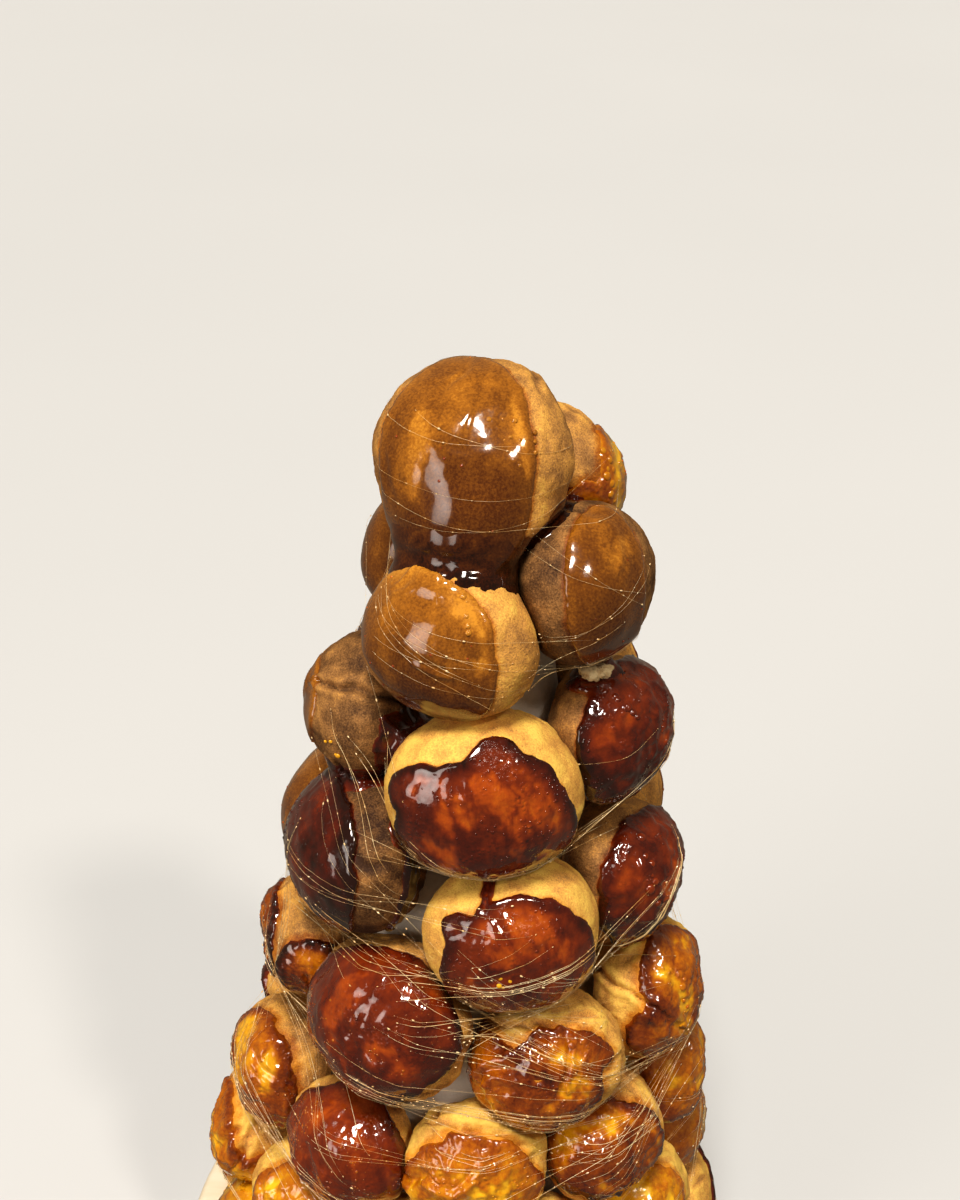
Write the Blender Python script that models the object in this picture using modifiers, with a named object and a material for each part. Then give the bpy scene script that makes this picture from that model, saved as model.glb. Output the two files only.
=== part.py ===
"""Croquembouche built on its board.

Filled choux buns stand in rings round a smooth tapered core, crowns facing out, with one large bun on
top, all on a plain round board. Units are metres, +Z is up and -Y is the front. The origin is the
middle of the board's underside. Buns that touch have pressed each other flat, with a hair's gap left.
"""

import math
from dataclasses import dataclass

import bmesh
import bpy
from mathutils import Matrix, Vector, noise

GAP = 0.0003  # between two pieces that touch

# Board
BOARD_RADIUS = 0.095
BOARD_THICKNESS = 0.014
BOARD_EDGE_ROUND = 0.004
BOARD_EDGE_STEPS = 2
BOARD_SIDES = 64

# Core, a cone cut off under the top bun
CORE_HEIGHT = 0.270
CORE_FOOT_RADIUS = 0.0590
CORE_SIDES = 40

# Tower
SLOPE = 0.17  # widening of the rings for each metre down
UPPER_RING_RADIUS = 0.0292
LOWEST_LIFT = 0.0205  # from the board to the middle of the lowest buns
TIER_RISE = 0.872  # from one tier to the next, in bun widths
TOP_SPOT = Vector((-0.0070, -0.0020, 0.3020))  # middle of the top bun, from the board's top
TOP_LEAN = 52.0  # degrees that its crown looks up

# Bun, in widths of its face
CROWN_DEPTH = 0.41
FOOT_DEPTH = 0.35
FOOT_FLAT = 0.29
OVAL = 0.045  # how much wider than tall a face is, but for the top bun's
LUMP_HEIGHT = 0.07  # share of the radius that noise of full strength adds
LUMP_PITCH = 1.25  # lumps across half a bun
FACE_SIDES = 12
CROWN_RINGS = 8
LEAN_SPREAD = 9.0  # degrees, unevenness of the crowns' direction

# Settling
SETTLE_ROUNDS = 40
PRESSED = 0.93  # buns press in to this share of their free distance
PUSH_SHARE = 0.25
NEAR = 0.64  # in widths of both buns, the distance within which they may touch


@dataclass(frozen=True)
class Tier:
    """One ring of buns: how many, how wide, and the turn of its first bun from the front."""

    count: int
    width: float
    first_turn: float


# From the top down. A turn is in degrees, and grows towards +X.
TIERS = (
    Tier(1, 0.055, -8.0),
    Tier(4, 0.048, -118.0),
    Tier(5, 0.048, -78.0),
    Tier(6, 0.048, -112.0),
    Tier(7, 0.047, -80.0),
    Tier(9, 0.043, -77.0),
    Tier(10, 0.042, -86.0),
    Tier(11, 0.042, -70.0),
)


@dataclass(frozen=True)
class Nudge:
    """How a bun was laid off its even place: degrees round, millimetres up and out, and its size."""

    turn: float = 0.0
    rise: float = 0.0
    out: float = 0.0
    size: float = 1.0


# The buns laid unevenly, by tier and place in the tier, both counted from 1.
NUDGES = {
    (2, 1): Nudge(turn=-30, rise=0, size=0.95),
    (2, 2): Nudge(turn=10, rise=1),
    (2, 3): Nudge(turn=-5, rise=12, size=0.96),
    (2, 4): Nudge(turn=-4, rise=27, size=0.95),
    (3, 1): Nudge(turn=-5, rise=6, size=0.90),
    (3, 2): Nudge(turn=14, rise=1, size=1.10),
    (3, 3): Nudge(turn=-4, rise=5, size=0.92),
    (4, 1): Nudge(turn=-3, rise=-10),
    (4, 2): Nudge(turn=-4, rise=9, size=1.03),
    (4, 3): Nudge(turn=9, rise=-2, size=1.05),
    (4, 4): Nudge(turn=-2, rise=0, size=0.94),
    (5, 1): Nudge(turn=8, rise=6, size=0.90),
    (5, 2): Nudge(turn=-9, rise=6, size=1.09),
    (5, 3): Nudge(turn=2, rise=-7, size=0.97),
    (5, 4): Nudge(turn=3, rise=-12, out=3, size=0.96),
    (6, 1): Nudge(turn=1, rise=-4, out=3, size=0.98),
    (6, 2): Nudge(rise=-4, size=0.97),
    (6, 3): Nudge(turn=1, rise=3, size=0.97),
    (6, 4): Nudge(turn=4, rise=-2, size=0.98),
    (6, 5): Nudge(out=2, size=0.98),
    (7, 1): Nudge(turn=2, rise=1, out=4),
}

TOP_CRUST = (0.40, 0.22, 0.075)
FOOT_CRUST = (0.78, 0.50, 0.15)


def uneven(*key):
    """A repeatable unevenness from -1 to 1 for a key of three numbers."""
    return noise.noise(Vector(key) * 7.31 + Vector((0.37, 0.71, 0.53)))


def direction(turn, lean):
    """The unit vector that looks out at a turn from the front and a lean up, both in radians."""
    return Vector((math.sin(turn) * math.cos(lean), -math.cos(turn) * math.cos(lean), math.sin(lean)))


def tier_heights():
    """The middle of each tier above the board's top, from the top tier down."""
    heights = [LOWEST_LIFT]
    for upper, lower in zip(TIERS[-2:0:-1], TIERS[:1:-1]):
        heights.append(heights[-1] + TIER_RISE * (upper.width + lower.width) / 2)
    return [TOP_SPOT.z, *reversed(heights)]


HEIGHTS = tier_heights()


def ring_radius(height):
    """The radius on which buns stand at a height above the board's top."""
    return UPPER_RING_RADIUS + SLOPE * (HEIGHTS[1] - height)


class Bun:
    """One choux bun, with its middle on its widest section and its crown along its own +Z."""

    def __init__(self, tier, place):
        """Lay the bun in its tier by the rule, then by its nudge."""
        laid = NUDGES.get((tier, place), Nudge())
        ring = TIERS[tier - 1]
        self.tier = tier
        self.place = place
        self.width = ring.width * laid.size
        self.out = laid.out / 1000
        self.turn = math.radians(ring.first_turn + (place - 1) * 360 / ring.count + laid.turn)
        self.height = HEIGHTS[tier - 1] + laid.rise / 1000
        if tier == 1:
            self.middle = TOP_SPOT.copy()
            self.oval = 0.0
            lean = math.radians(TOP_LEAN)
        else:
            self.oval = OVAL
            self.middle = direction(self.turn, 0.0) * (ring_radius(self.height) + self.out)
            self.middle.z = self.height
            lean = math.atan(SLOPE) + math.radians(LEAN_SPREAD) * uneven(tier, place, 1)
        aside = math.radians(LEAN_SPREAD) * uneven(tier, place, 2)
        self.frame = self.facing(direction(self.turn + aside, lean))

    @property
    def name(self):
        """The bun's node name, counted from the top."""
        return f"choux_{self.tier}_{self.place}"

    @staticmethod
    def facing(crown):
        """A rotation whose +Z is the crown, and whose +Y is as upright as it can be."""
        across = Vector((0.0, 0.0, 1.0)).cross(crown).normalized()
        return Matrix((across, crown.cross(across), crown)).transposed()

    def reach(self, way):
        """How far the plain form reaches from its middle along a unit vector of the world."""
        return self.plain_radius(self.frame.transposed() @ way)

    def plain_radius(self, way):
        """The form's radius along its own unit vector: a domed crown on a shallower, flat foot."""
        half = self.width / 2
        depth = self.width * (CROWN_DEPTH if way.z > 0 else FOOT_DEPTH)
        across = way.x / (half * (1 + self.oval))
        upright = way.y / (half * (1 - self.oval))
        radius = 1 / math.sqrt(across**2 + upright**2 + (way.z / depth) ** 2)
        if way.z < 0:
            radius = min(radius, self.width * FOOT_FLAT / -way.z)
        return radius

    def lumpy_radius(self, way):
        """The plain radius with the bun's own broad lumps."""
        spot = way * LUMP_PITCH + Vector((self.tier * 3.7, self.place * 5.3, 1.9))
        return self.plain_radius(way) * (1 + LUMP_HEIGHT * noise.noise(spot))


def lay_buns():
    """All buns, settled until they only press on each other."""
    buns = [Bun(t + 1, p + 1) for t, tier in enumerate(TIERS) for p in range(tier.count)]
    for _ in range(SETTLE_ROUNDS):
        for index, bun in enumerate(buns):
            for other in buns[index + 1 :]:
                push_apart(bun, other)
        for bun in buns[1:]:
            hold_to_ring(bun)
        buns[0].middle = TOP_SPOT.copy()
    return buns


def push_apart(bun, other):
    """Move two buns that overlap too deeply a part of the way out of each other."""
    way = other.middle - bun.middle
    distance = way.length
    if distance > NEAR * (bun.width + other.width):
        return
    way.normalize()
    excess = PRESSED * (bun.reach(way) + other.reach(-way)) - distance
    if excess > 0:
        bun.middle -= way * excess * PUSH_SHARE
        other.middle += way * excess * PUSH_SHARE


def hold_to_ring(bun):
    """Bring a bun back onto the cone of the rings, and the lowest ones onto their height."""
    if bun.tier == len(TIERS):
        bun.middle.z = bun.height
    flat = Vector((bun.middle.x, bun.middle.y, 0.0)).normalized()
    radius = ring_radius(bun.middle.z) + bun.out
    bun.middle = flat * radius + Vector((0.0, 0.0, bun.middle.z))


def walls_round(bun, buns):
    """The planes that hold a bun in, as outward unit vectors with their distances from its middle."""
    walls = [(Vector((0.0, 0.0, -1.0)), bun.middle.z - GAP)]
    if bun.tier == 1:
        walls.append((Vector((0.0, 0.0, -1.0)), bun.middle.z - CORE_HEIGHT - GAP))
    else:
        turn = math.atan2(bun.middle.x, -bun.middle.y)
        core_side = direction(turn, math.atan(SLOPE))
        foot = direction(turn, 0.0) * CORE_FOOT_RADIUS
        walls.append((-core_side, (bun.middle - foot).dot(core_side) - GAP))
    for other in buns:
        way = other.middle - bun.middle
        distance = way.length
        if other is bun or distance > NEAR * (bun.width + other.width):
            continue
        way.normalize()
        mine = bun.reach(way)
        share = mine / (mine + other.reach(-way))
        walls.append((way, distance * share - GAP / 2))
    return walls


def make_object(name, mesh_data, material):
    """An object of the collection from a filled bmesh, shaded smooth."""
    bmesh.ops.recalc_face_normals(mesh_data, faces=mesh_data.faces)
    mesh = bpy.data.meshes.new(name)
    mesh_data.to_mesh(mesh)
    mesh_data.free()
    mesh.shade_smooth()
    mesh.set_sharp_from_angle(angle=math.radians(50))
    mesh.materials.append(material)
    item = bpy.data.objects.new(name, mesh)
    parts_collection().objects.link(item)
    return item


def parts_collection():
    """The collection that holds the croquembouche."""
    found = bpy.data.collections.get("croquembouche")
    if found is None:
        found = bpy.data.collections.new("croquembouche")
        bpy.context.scene.collection.children.link(found)
    return found


def make_material(name, colour, roughness):
    """A plain Principled material."""
    material = bpy.data.materials.new(name)
    material.use_nodes = True
    shader = material.node_tree.nodes["Principled BSDF"]
    shader.inputs["Base Color"].default_value = (*colour, 1.0)
    shader.inputs["Roughness"].default_value = roughness
    shader.inputs["Metallic"].default_value = 0.0
    return material


def make_bun(bun, buns, material, tower):
    """The bun's solid: its lumpy form, held in by its neighbours, the core and the board."""
    turned_back = bun.frame.transposed()
    walls = [(turned_back @ way, distance) for way, distance in walls_round(bun, buns)]
    form = bmesh.new()
    bmesh.ops.create_uvsphere(form, u_segments=FACE_SIDES, v_segments=CROWN_RINGS, radius=1.0)
    for corner in form.verts:
        way = corner.co.normalized()
        radius = bun.lumpy_radius(way)
        for wall_way, distance in walls:
            toward = wall_way.dot(way)
            if toward * radius > distance:
                radius = distance / toward
        corner.co = way * radius
    item = make_object(bun.name, form, material)
    item.parent = tower
    item.matrix_local = Matrix.Translation(bun.middle) @ bun.frame.to_4x4()
    return item


def make_core(material, tower):
    """The tapered core, a cut-off cone that stands on the board."""
    form = bmesh.new()
    bmesh.ops.create_cone(
        form,
        cap_ends=True,
        segments=CORE_SIDES,
        radius1=CORE_FOOT_RADIUS - SLOPE * GAP,
        radius2=CORE_FOOT_RADIUS - SLOPE * CORE_HEIGHT,
        depth=CORE_HEIGHT - GAP,
    )
    item = make_object("tapered_core", form, material)
    item.parent = tower
    item.location = (0.0, 0.0, (CORE_HEIGHT + GAP) / 2)
    return item


def make_board(material):
    """The plain round board, its edges rounded."""
    form = bmesh.new()
    bmesh.ops.create_cone(
        form,
        cap_ends=True,
        segments=BOARD_SIDES,
        radius1=BOARD_RADIUS,
        radius2=BOARD_RADIUS,
        depth=BOARD_THICKNESS,
    )
    item = make_object("round_board", form, material)
    item.location = (0.0, 0.0, BOARD_THICKNESS / 2)
    rounding = item.modifiers.new("rounded edge", "BEVEL")
    rounding.width = BOARD_EDGE_ROUND
    rounding.segments = BOARD_EDGE_STEPS
    rounding.limit_method = "ANGLE"
    rounding.angle_limit = math.radians(60)
    return item


def crust_material(tier):
    """The crust of one tier, paler and more golden towards the board."""
    share = (tier - 1) / (len(TIERS) - 1)
    colour = [top + (foot - top) * share for top, foot in zip(TOP_CRUST, FOOT_CRUST)]
    return make_material(f"choux_crust_{tier}", colour, 0.6)


def main():
    """Clear the scene and build the croquembouche."""
    for item in list(bpy.data.objects):
        bpy.data.objects.remove(item, do_unlink=True)
    tower = bpy.data.objects.new("tower_on_board", None)
    tower.location = (0.0, 0.0, BOARD_THICKNESS)
    parts_collection().objects.link(tower)
    make_board(make_material("board_wood", (0.60, 0.42, 0.24), 0.5))
    make_core(make_material("core_white", (0.82, 0.81, 0.78), 0.45), tower)
    crusts = {tier: crust_material(tier) for tier in range(1, len(TIERS) + 1)}
    buns = lay_buns()
    for bun in buns:
        make_bun(bun, buns, crusts[bun.tier], tower)


if __name__ == "__main__":
    main()
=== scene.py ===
"""Croquembouche on its board, with its crusts, caramel and spun sugar.

Choux buns dipped in caramel stand in rings round a white tapered core, glued with more caramel and
wrapped in threads of spun sugar. Units are metres, +Z is up and -Y is the serving side.
"""

import logging
import math
from dataclasses import dataclass, field
from enum import Enum
from functools import cache
from itertools import combinations

import bpy
import numpy as np
from mathutils import Matrix, Vector


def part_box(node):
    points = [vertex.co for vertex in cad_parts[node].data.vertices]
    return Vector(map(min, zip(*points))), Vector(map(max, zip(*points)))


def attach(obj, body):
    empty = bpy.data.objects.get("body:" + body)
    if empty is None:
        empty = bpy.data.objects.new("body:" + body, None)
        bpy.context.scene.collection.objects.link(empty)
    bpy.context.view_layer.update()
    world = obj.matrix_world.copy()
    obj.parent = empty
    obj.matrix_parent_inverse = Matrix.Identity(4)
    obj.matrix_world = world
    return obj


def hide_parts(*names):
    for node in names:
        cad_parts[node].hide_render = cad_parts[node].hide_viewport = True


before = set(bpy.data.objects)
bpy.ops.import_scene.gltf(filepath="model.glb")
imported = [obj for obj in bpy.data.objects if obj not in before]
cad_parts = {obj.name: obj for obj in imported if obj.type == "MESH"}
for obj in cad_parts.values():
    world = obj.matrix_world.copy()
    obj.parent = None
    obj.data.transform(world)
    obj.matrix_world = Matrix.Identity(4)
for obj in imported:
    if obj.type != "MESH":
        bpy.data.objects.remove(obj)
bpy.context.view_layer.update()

log = logging.getLogger("croquembouche")

BODY = "root"
MM = 0.001
EYE = Vector((-0.0037, -0.440, 0.524))  # a guest's eye at the serving side
WIDENING = 0.17  # how much the core's radius grows for each metre down
TOP_BUN = "1_1"
TOP_LEAN = math.radians(52.0)  # how far the top bun's crown looks up
SIDE_LEAN = math.atan(WIDENING)  # the same for the buns round the core
LOWER_FROM = 5  # the first of the lower tiers, which bake rougher and wear syrup
CRUST_SEED = 11
CARAMEL_SEED = 23
Array = np.ndarray
Dice = np.random.Generator
Material = bpy.types.Material
Mesh = bpy.types.Mesh
Piece = bpy.types.Object
Socket = bpy.types.NodeSocket
Finishes = dict[str, Material]  # by name
Range = tuple[float, float]
Place = tuple[float, float, float]
Part = tuple[Array, Array, dict[str, Array]]  # places, rows of point numbers, and held values
Colour = tuple[float, float, float, float]
Stops = tuple[tuple[float, str], ...]  # a ramp's places and colour codes


def tint(code: str) -> Colour:
    """Turns a colour code into linear light, by the sRGB curve.

    Args:
        code: The colour as "#rrggbb".

    Returns:
        Red, green, blue and alpha.
    """
    parts = [int(code[i : i + 2], 16) / 255 for i in (1, 3, 5)]
    linear = [p / 12.92 if p < 0.04045 else ((p + 0.055) / 1.055) ** 2.4 for p in parts]
    return (*linear, 1.0)


def unit(vectors: Array) -> Array:
    """Vectors along the last axis, brought to length 1."""
    return vectors / np.maximum(np.linalg.norm(vectors, axis=-1, keepdims=True), 1e-12)


def ease(x: Array, low: float, high: float) -> Array:
    """Smooth step from 0 at low to 1 at high."""
    t = np.clip((x - low) / (high - low), 0.0, 1.0)
    return t * t * (3 - 2 * t)


def soft_min(a: Array, b: Array, blend: float) -> Array:
    """The smaller of two values, rounded over where they are within blend of each other."""
    h = np.clip(0.5 + 0.5 * (b - a) / blend, 0.0, 1.0)
    return b * (1 - h) + a * h - blend * h * (1 - h)


def soft_max(a: Array, b: Array, blend: float) -> Array:
    """The larger of two values, rounded over where they are within blend of each other."""
    return -soft_min(-a, -b, blend)


def ridge(x: Array, width: float) -> Array:
    """A rounded ridge, 1 high at x = 0 and falling away over a width."""
    return np.exp(-((x / width) ** 2))


class GradientNoise:
    """Smooth noise in space, from slopes held at the corners of a lattice."""

    def __init__(self, seed: int) -> None:
        """Lays out the lattice.

        Args:
            seed: Fixes the slopes and their order.
        """
        dice = np.random.default_rng(seed)
        order = dice.permutation(256).astype(np.int32)
        self.order = np.concatenate([order, order, order[:2]])
        self.slopes = unit(dice.normal(size=(256, 3)))

    def at(self, points: Array) -> Array:
        """Noise from about -1 to 1.

        Args:
            points: N x 3 places, in lattice cells.

        Returns:
            N values.
        """
        cell = np.floor(points)
        inside = points - cell
        fade = inside**3 * (inside * (inside * 6 - 15) + 10)
        corner = cell.astype(np.int64) & 255
        total = np.zeros(len(points))
        for dx in (0, 1):
            a = self.order[corner[:, 0] + dx]
            wx = fade[:, 0] if dx else 1 - fade[:, 0]
            for dy in (0, 1):
                b = self.order[(a + corner[:, 1] + dy) & 255]
                wy = fade[:, 1] if dy else 1 - fade[:, 1]
                for dz in (0, 1):
                    slope = self.slopes[self.order[(b + corner[:, 2] + dz) & 255]]
                    wz = fade[:, 2] if dz else 1 - fade[:, 2]
                    away = inside - (dx, dy, dz)
                    total += wx * wy * wz * np.einsum("ij,ij->i", slope, away)
        return total * 1.6

    def layers(
        self, points: Array, pitch: float, octaves: int = 3, fade: float = 0.5, shift: float = 0.0
    ) -> Array:
        """Noise with finer noise laid on it.

        Args:
            points: N x 3 places, in metres.
            pitch: Size of the broadest lumps, in metres.
            octaves: How many layers, each half the size of the one before.
            fade: Strength of each layer as a share of the one before.
            shift: Moves the reading along, so that two features don't follow each other.

        Returns:
            N values from about -1 to 1.
        """
        total, strength, whole = np.zeros(len(points)), 1.0, 0.0
        for octave in range(octaves):
            total += strength * self.at((points + shift) * (2**octave / pitch) + 17.3 * octave)
            whole += strength
            strength *= fade
        return total / whole


def joined(parts: list[Part]) -> Part:
    """Joins parts of a piece.

    Args:
        parts: Each one's places, its rows of point numbers and the values that it holds.

    Returns:
        The same for all of them together.
    """
    first = np.cumsum([0] + [len(points) for points, _, _ in parts])
    points = np.concatenate([points for points, _, _ in parts])
    faces = np.concatenate([faces + start for (_, faces, _), start in zip(parts, first)])
    values = {key: np.concatenate([held[key] for _, _, held in parts]) for key in parts[0][2]}
    return points, faces, values


class BallGrid:
    """Even grid of square cells over a ball, six sides of a cube blown round."""

    def __init__(self, cells: int) -> None:
        """Lays out the grid.

        Args:
            cells: Cells along each side of the cube.
        """
        line = np.tan(np.linspace(-1, 1, cells + 1) * math.pi / 4)
        a, b = (g.ravel() for g in np.meshgrid(line, line, indexing="ij"))
        one = np.ones_like(a)
        sides = []
        for axis in range(3):
            for sign in (1, -1):
                side = np.empty((len(a), 3))
                side[:, axis] = sign * one
                side[:, (axis + 1) % 3] = a
                side[:, (axis + 2) % 3] = sign * b
                sides.append(side)
        n = cells + 1
        i, j = (g.ravel() for g in np.meshgrid(range(cells), range(cells), indexing="ij"))
        quad = np.stack([i * n + j, (i + 1) * n + j, (i + 1) * n + j + 1, i * n + j + 1], 1)
        quads = np.concatenate([quad + k * n * n for k in range(6)])
        points = np.concatenate(sides)
        _, first, index = np.unique(
            np.round(points, 6), axis=0, return_index=True, return_inverse=True
        )
        self.directions = unit(points[first])
        self.quads = index.reshape(-1)[quads]

    @staticmethod
    @cache
    def of(cells: int) -> "BallGrid":
        """The grid with that many cells a side, made once."""
        return BallGrid(cells)


def put(name: str, data: bpy.types.ID) -> Piece:
    """Puts a new object in the scene.

    Args:
        name: Its name.
        data: Its mesh, light or camera.

    Returns:
        The object, at the origin.
    """
    made = bpy.data.objects.new(name, data)
    bpy.context.scene.collection.objects.link(made)
    return made


def hold(mesh: Mesh, values: dict[str, Array]) -> None:
    """Holds numbers at a mesh's points.

    Args:
        mesh: The mesh.
        values: The numbers by attribute name, one for each point.
    """
    for key, numbers in values.items():
        layer = mesh.attributes.new(key, "FLOAT", "POINT")
        layer.data.foreach_set("value", numbers.astype(np.float32).ravel())


def places_of(mesh: Mesh) -> Array:
    """Reads a mesh's points.

    Args:
        mesh: The mesh.

    Returns:
        N x 3 places.
    """
    places = np.empty(len(mesh.vertices) * 3, np.float32)
    mesh.vertices.foreach_get("co", places)
    return places.reshape(-1, 3).astype(float)


def new_mesh(name: str, part: Part) -> Mesh:
    """Makes a smooth-shaded mesh.

    Args:
        name: Its name.
        part: Its places, its M x 3 or M x 4 faces and the values that it holds.

    Returns:
        The new mesh.
    """
    points, faces, values = part
    mesh = bpy.data.meshes.new(name)
    mesh.vertices.add(len(points))
    mesh.vertices.foreach_set("co", points.astype(np.float32).ravel())
    mesh.loops.add(faces.size)
    mesh.loops.foreach_set("vertex_index", faces.astype(np.int32).ravel())
    mesh.polygons.add(len(faces))
    starts = np.arange(0, faces.size, faces.shape[1], dtype=np.int32)
    mesh.polygons.foreach_set("loop_start", starts)
    mesh.polygons.foreach_set("use_smooth", np.ones(len(faces), bool))
    mesh.update(calc_edges=True)
    mesh.validate()
    hold(mesh, values)
    return mesh


def new_piece(name: str, part: Part, material: Material) -> Piece:
    """Makes a smooth-shaded piece at the origin.

    Args:
        name: Its name.
        part: Its places, faces and held values.
        material: Its finish.

    Returns:
        The new object.
    """
    mesh = new_mesh(name, part)
    mesh.materials.append(material)
    return put(name, mesh)


def settle(piece: Piece, slot: str, *nodes: str) -> Piece:
    """Rides a finished piece on the tower, and hides the solids that it stands for.

    Args:
        piece: The finished piece.
        slot: Not used.
        *nodes: The solids that it replaces.

    Returns:
        The piece.
    """
    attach(piece, BODY)
    if nodes:
        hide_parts(*nodes)
    log.info("%s: %d faces", piece.name, len(piece.data.polygons))
    return piece


# Finishes


class Graph:
    """The nodes of one tree."""

    def __init__(self, tree: bpy.types.NodeTree) -> None:
        """Takes the tree to add to."""
        self.tree = tree

    def node(
        self, kind: str, settings: dict[str, object] | None = None, sockets: dict | None = None
    ) -> bpy.types.Node:
        """Adds a node.

        Args:
            kind: Type of the node.
            settings: Its settings, set first. "stops" holds a ramp's places and colours.
            sockets: Values or links of its sockets, by name or number.

        Returns:
            The node.
        """
        made = self.tree.nodes.new(kind)
        for key, value in (settings or {}).items():
            if key == "stops":
                self._set_stops(made.color_ramp.elements, value)
            else:
                setattr(made, key, value)
        for key, value in (sockets or {}).items():
            self.feed(made.inputs[key], value)
        return made

    def feed(self, socket: Socket, value: object) -> None:
        """Links a socket, or sets its value.

        Args:
            socket: The socket.
            value: An amount or a socket to link it to, or a plain value.
        """
        if isinstance(value, Amount):
            value = value.socket
        if isinstance(value, Socket):
            self.tree.links.new(value, socket)
        else:
            socket.default_value = value

    @staticmethod
    def _set_stops(elements: bpy.types.ColorRampElements, stops: list) -> None:
        """Sets a ramp's stops.

        Args:
            elements: The ramp's elements.
            stops: Places and colours, from 0 to 1.
        """
        while len(elements) < len(stops):
            elements.new(0.5)
        for element, (place, colour) in zip(elements, stops):
            element.position = place
            element.color = colour


class Amount:
    """A number that varies over a surface. Arithmetic on it adds Math nodes."""

    def __init__(self, graph: Graph, socket: Socket) -> None:
        """Wraps a socket of the graph."""
        self.graph = graph
        self.socket = socket

    def _math(self, operation: str, first: object, second: object) -> "Amount":
        """The outcome of one Math node."""
        made = self.graph.node("ShaderNodeMath", {"operation": operation}, {0: first, 1: second})
        return Amount(self.graph, made.outputs[0])

    def __add__(self, other: object) -> "Amount":
        """self + other."""
        return self._math("ADD", self, other)

    __radd__ = __add__

    def __sub__(self, other: object) -> "Amount":
        """self - other."""
        return self._math("SUBTRACT", self, other)

    def __rsub__(self, other: object) -> "Amount":
        """other - self."""
        return self._math("SUBTRACT", other, self)

    def __mul__(self, other: object) -> "Amount":
        """self * other."""
        return self._math("MULTIPLY", self, other)

    __rmul__ = __mul__

    def __pow__(self, other: float) -> "Amount":
        """self ** other."""
        return self._math("POWER", self, other)

    def stepped(self, low: float, high: float) -> "Amount":
        """Smooth step over the amount.

        Args:
            low: Where it starts to rise from 0.
            high: Where it reaches 1.

        Returns:
            The step.
        """
        made = self.graph.node(
            "ShaderNodeMapRange",
            {"interpolation_type": "SMOOTHSTEP"},
            {"Value": self, "From Min": low, "From Max": high},
        )
        return Amount(self.graph, made.outputs["Result"])


class Growth(Graph):
    """A Geometry Nodes tree with named inputs, run once over a source mesh."""

    def __init__(self, name: str, inputs: dict[str, float | int]) -> None:
        """Starts a tree.

        Args:
            name: Name of the tree.
            inputs: Its named inputs and their values, whole numbers as int.
        """
        super().__init__(bpy.data.node_groups.new(name, "GeometryNodeTree"))
        self.inputs = inputs
        face = self.tree.interface
        face.new_socket("Source", in_out="INPUT", socket_type="NodeSocketGeometry")
        for key, value in inputs.items():
            kind = "NodeSocketInt" if isinstance(value, int) else "NodeSocketFloat"
            face.new_socket(key, in_out="INPUT", socket_type=kind)
        face.new_socket("Grown", in_out="OUTPUT", socket_type="NodeSocketGeometry")
        self.group = self.node("NodeGroupInput")
        self.source = self.group.outputs["Source"]

    def size(self, key: str) -> Amount:
        """A named input."""
        return Amount(self, self.group.outputs[key])

    def held(self, name: str) -> Amount:
        """A number held at the source's points."""
        made = self.node("GeometryNodeInputNamedAttribute", {"data_type": "FLOAT"}, {0: name})
        return Amount(self, made.outputs[0])

    def chance(self, low: object, high: object, seed: int) -> Amount:
        """A random number for each point, from low to high, by a fixed seed."""
        sockets = {2: low, 3: high, 8: seed}
        return Amount(self, self.node("FunctionNodeRandomValue", None, sockets).outputs[1])

    def set_on(
        self, spots: bpy.types.Node, shape: bpy.types.Node, wide: Amount, high: Amount
    ) -> Socket:
        """Sets a copy of a shape on each of some points.

        Args:
            spots: Node that gives the points and their turns.
            shape: Node that gives the shape.
            wide: How wide each copy is.
            high: How high it is.

        Returns:
            The copies.
        """
        scale = self.node("ShaderNodeCombineXYZ", None, {0: wide, 1: wide, 2: high})
        sockets = {
            "Points": spots.outputs["Points"],
            "Instance": shape.outputs["Mesh"],
            "Rotation": spots.outputs["Rotation"],
            "Scale": scale.outputs[0],
        }
        return self.node("GeometryNodeInstanceOnPoints", None, sockets).outputs[0]

    def grow(
        self,
        name: str,
        shape: Socket,
        source: Mesh,
        material: Material,
    ) -> Piece:
        """Ends the tree, runs it over the source and keeps the result as a plain mesh.

        Args:
            name: Name of the piece.
            shape: Geometry that the tree ends in.
            source: Mesh to run it over.
            material: The piece's finish.

        Returns:
            The piece.
        """
        smooth = self.node("GeometryNodeSetShadeSmooth", None, {0: shape})
        real = self.node("GeometryNodeRealizeInstances", None, {0: smooth.outputs[0]})
        sockets = {"Geometry": real.outputs[0], "Material": material}
        dressed = self.node("GeometryNodeSetMaterial", None, sockets)
        output = self.node("NodeGroupOutput")
        self.feed(output.inputs[0], dressed.outputs[0])
        holder = put(f"{name}_source", source)
        modifier = holder.modifiers.new(name, "NODES")
        modifier.node_group = self.tree
        for item in self.tree.interface.items_tree:
            if item.in_out == "INPUT" and item.name in self.inputs:
                modifier[item.identifier] = self.inputs[item.name]
        bpy.context.view_layer.update()
        grown = holder.evaluated_get(bpy.context.evaluated_depsgraph_get())
        mesh = bpy.data.meshes.new_from_object(grown)
        mesh.name = name
        if not mesh.materials:
            mesh.materials.append(material)
        holder.modifiers.remove(modifier)
        bpy.data.objects.remove(holder)
        return put(name, mesh)


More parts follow.
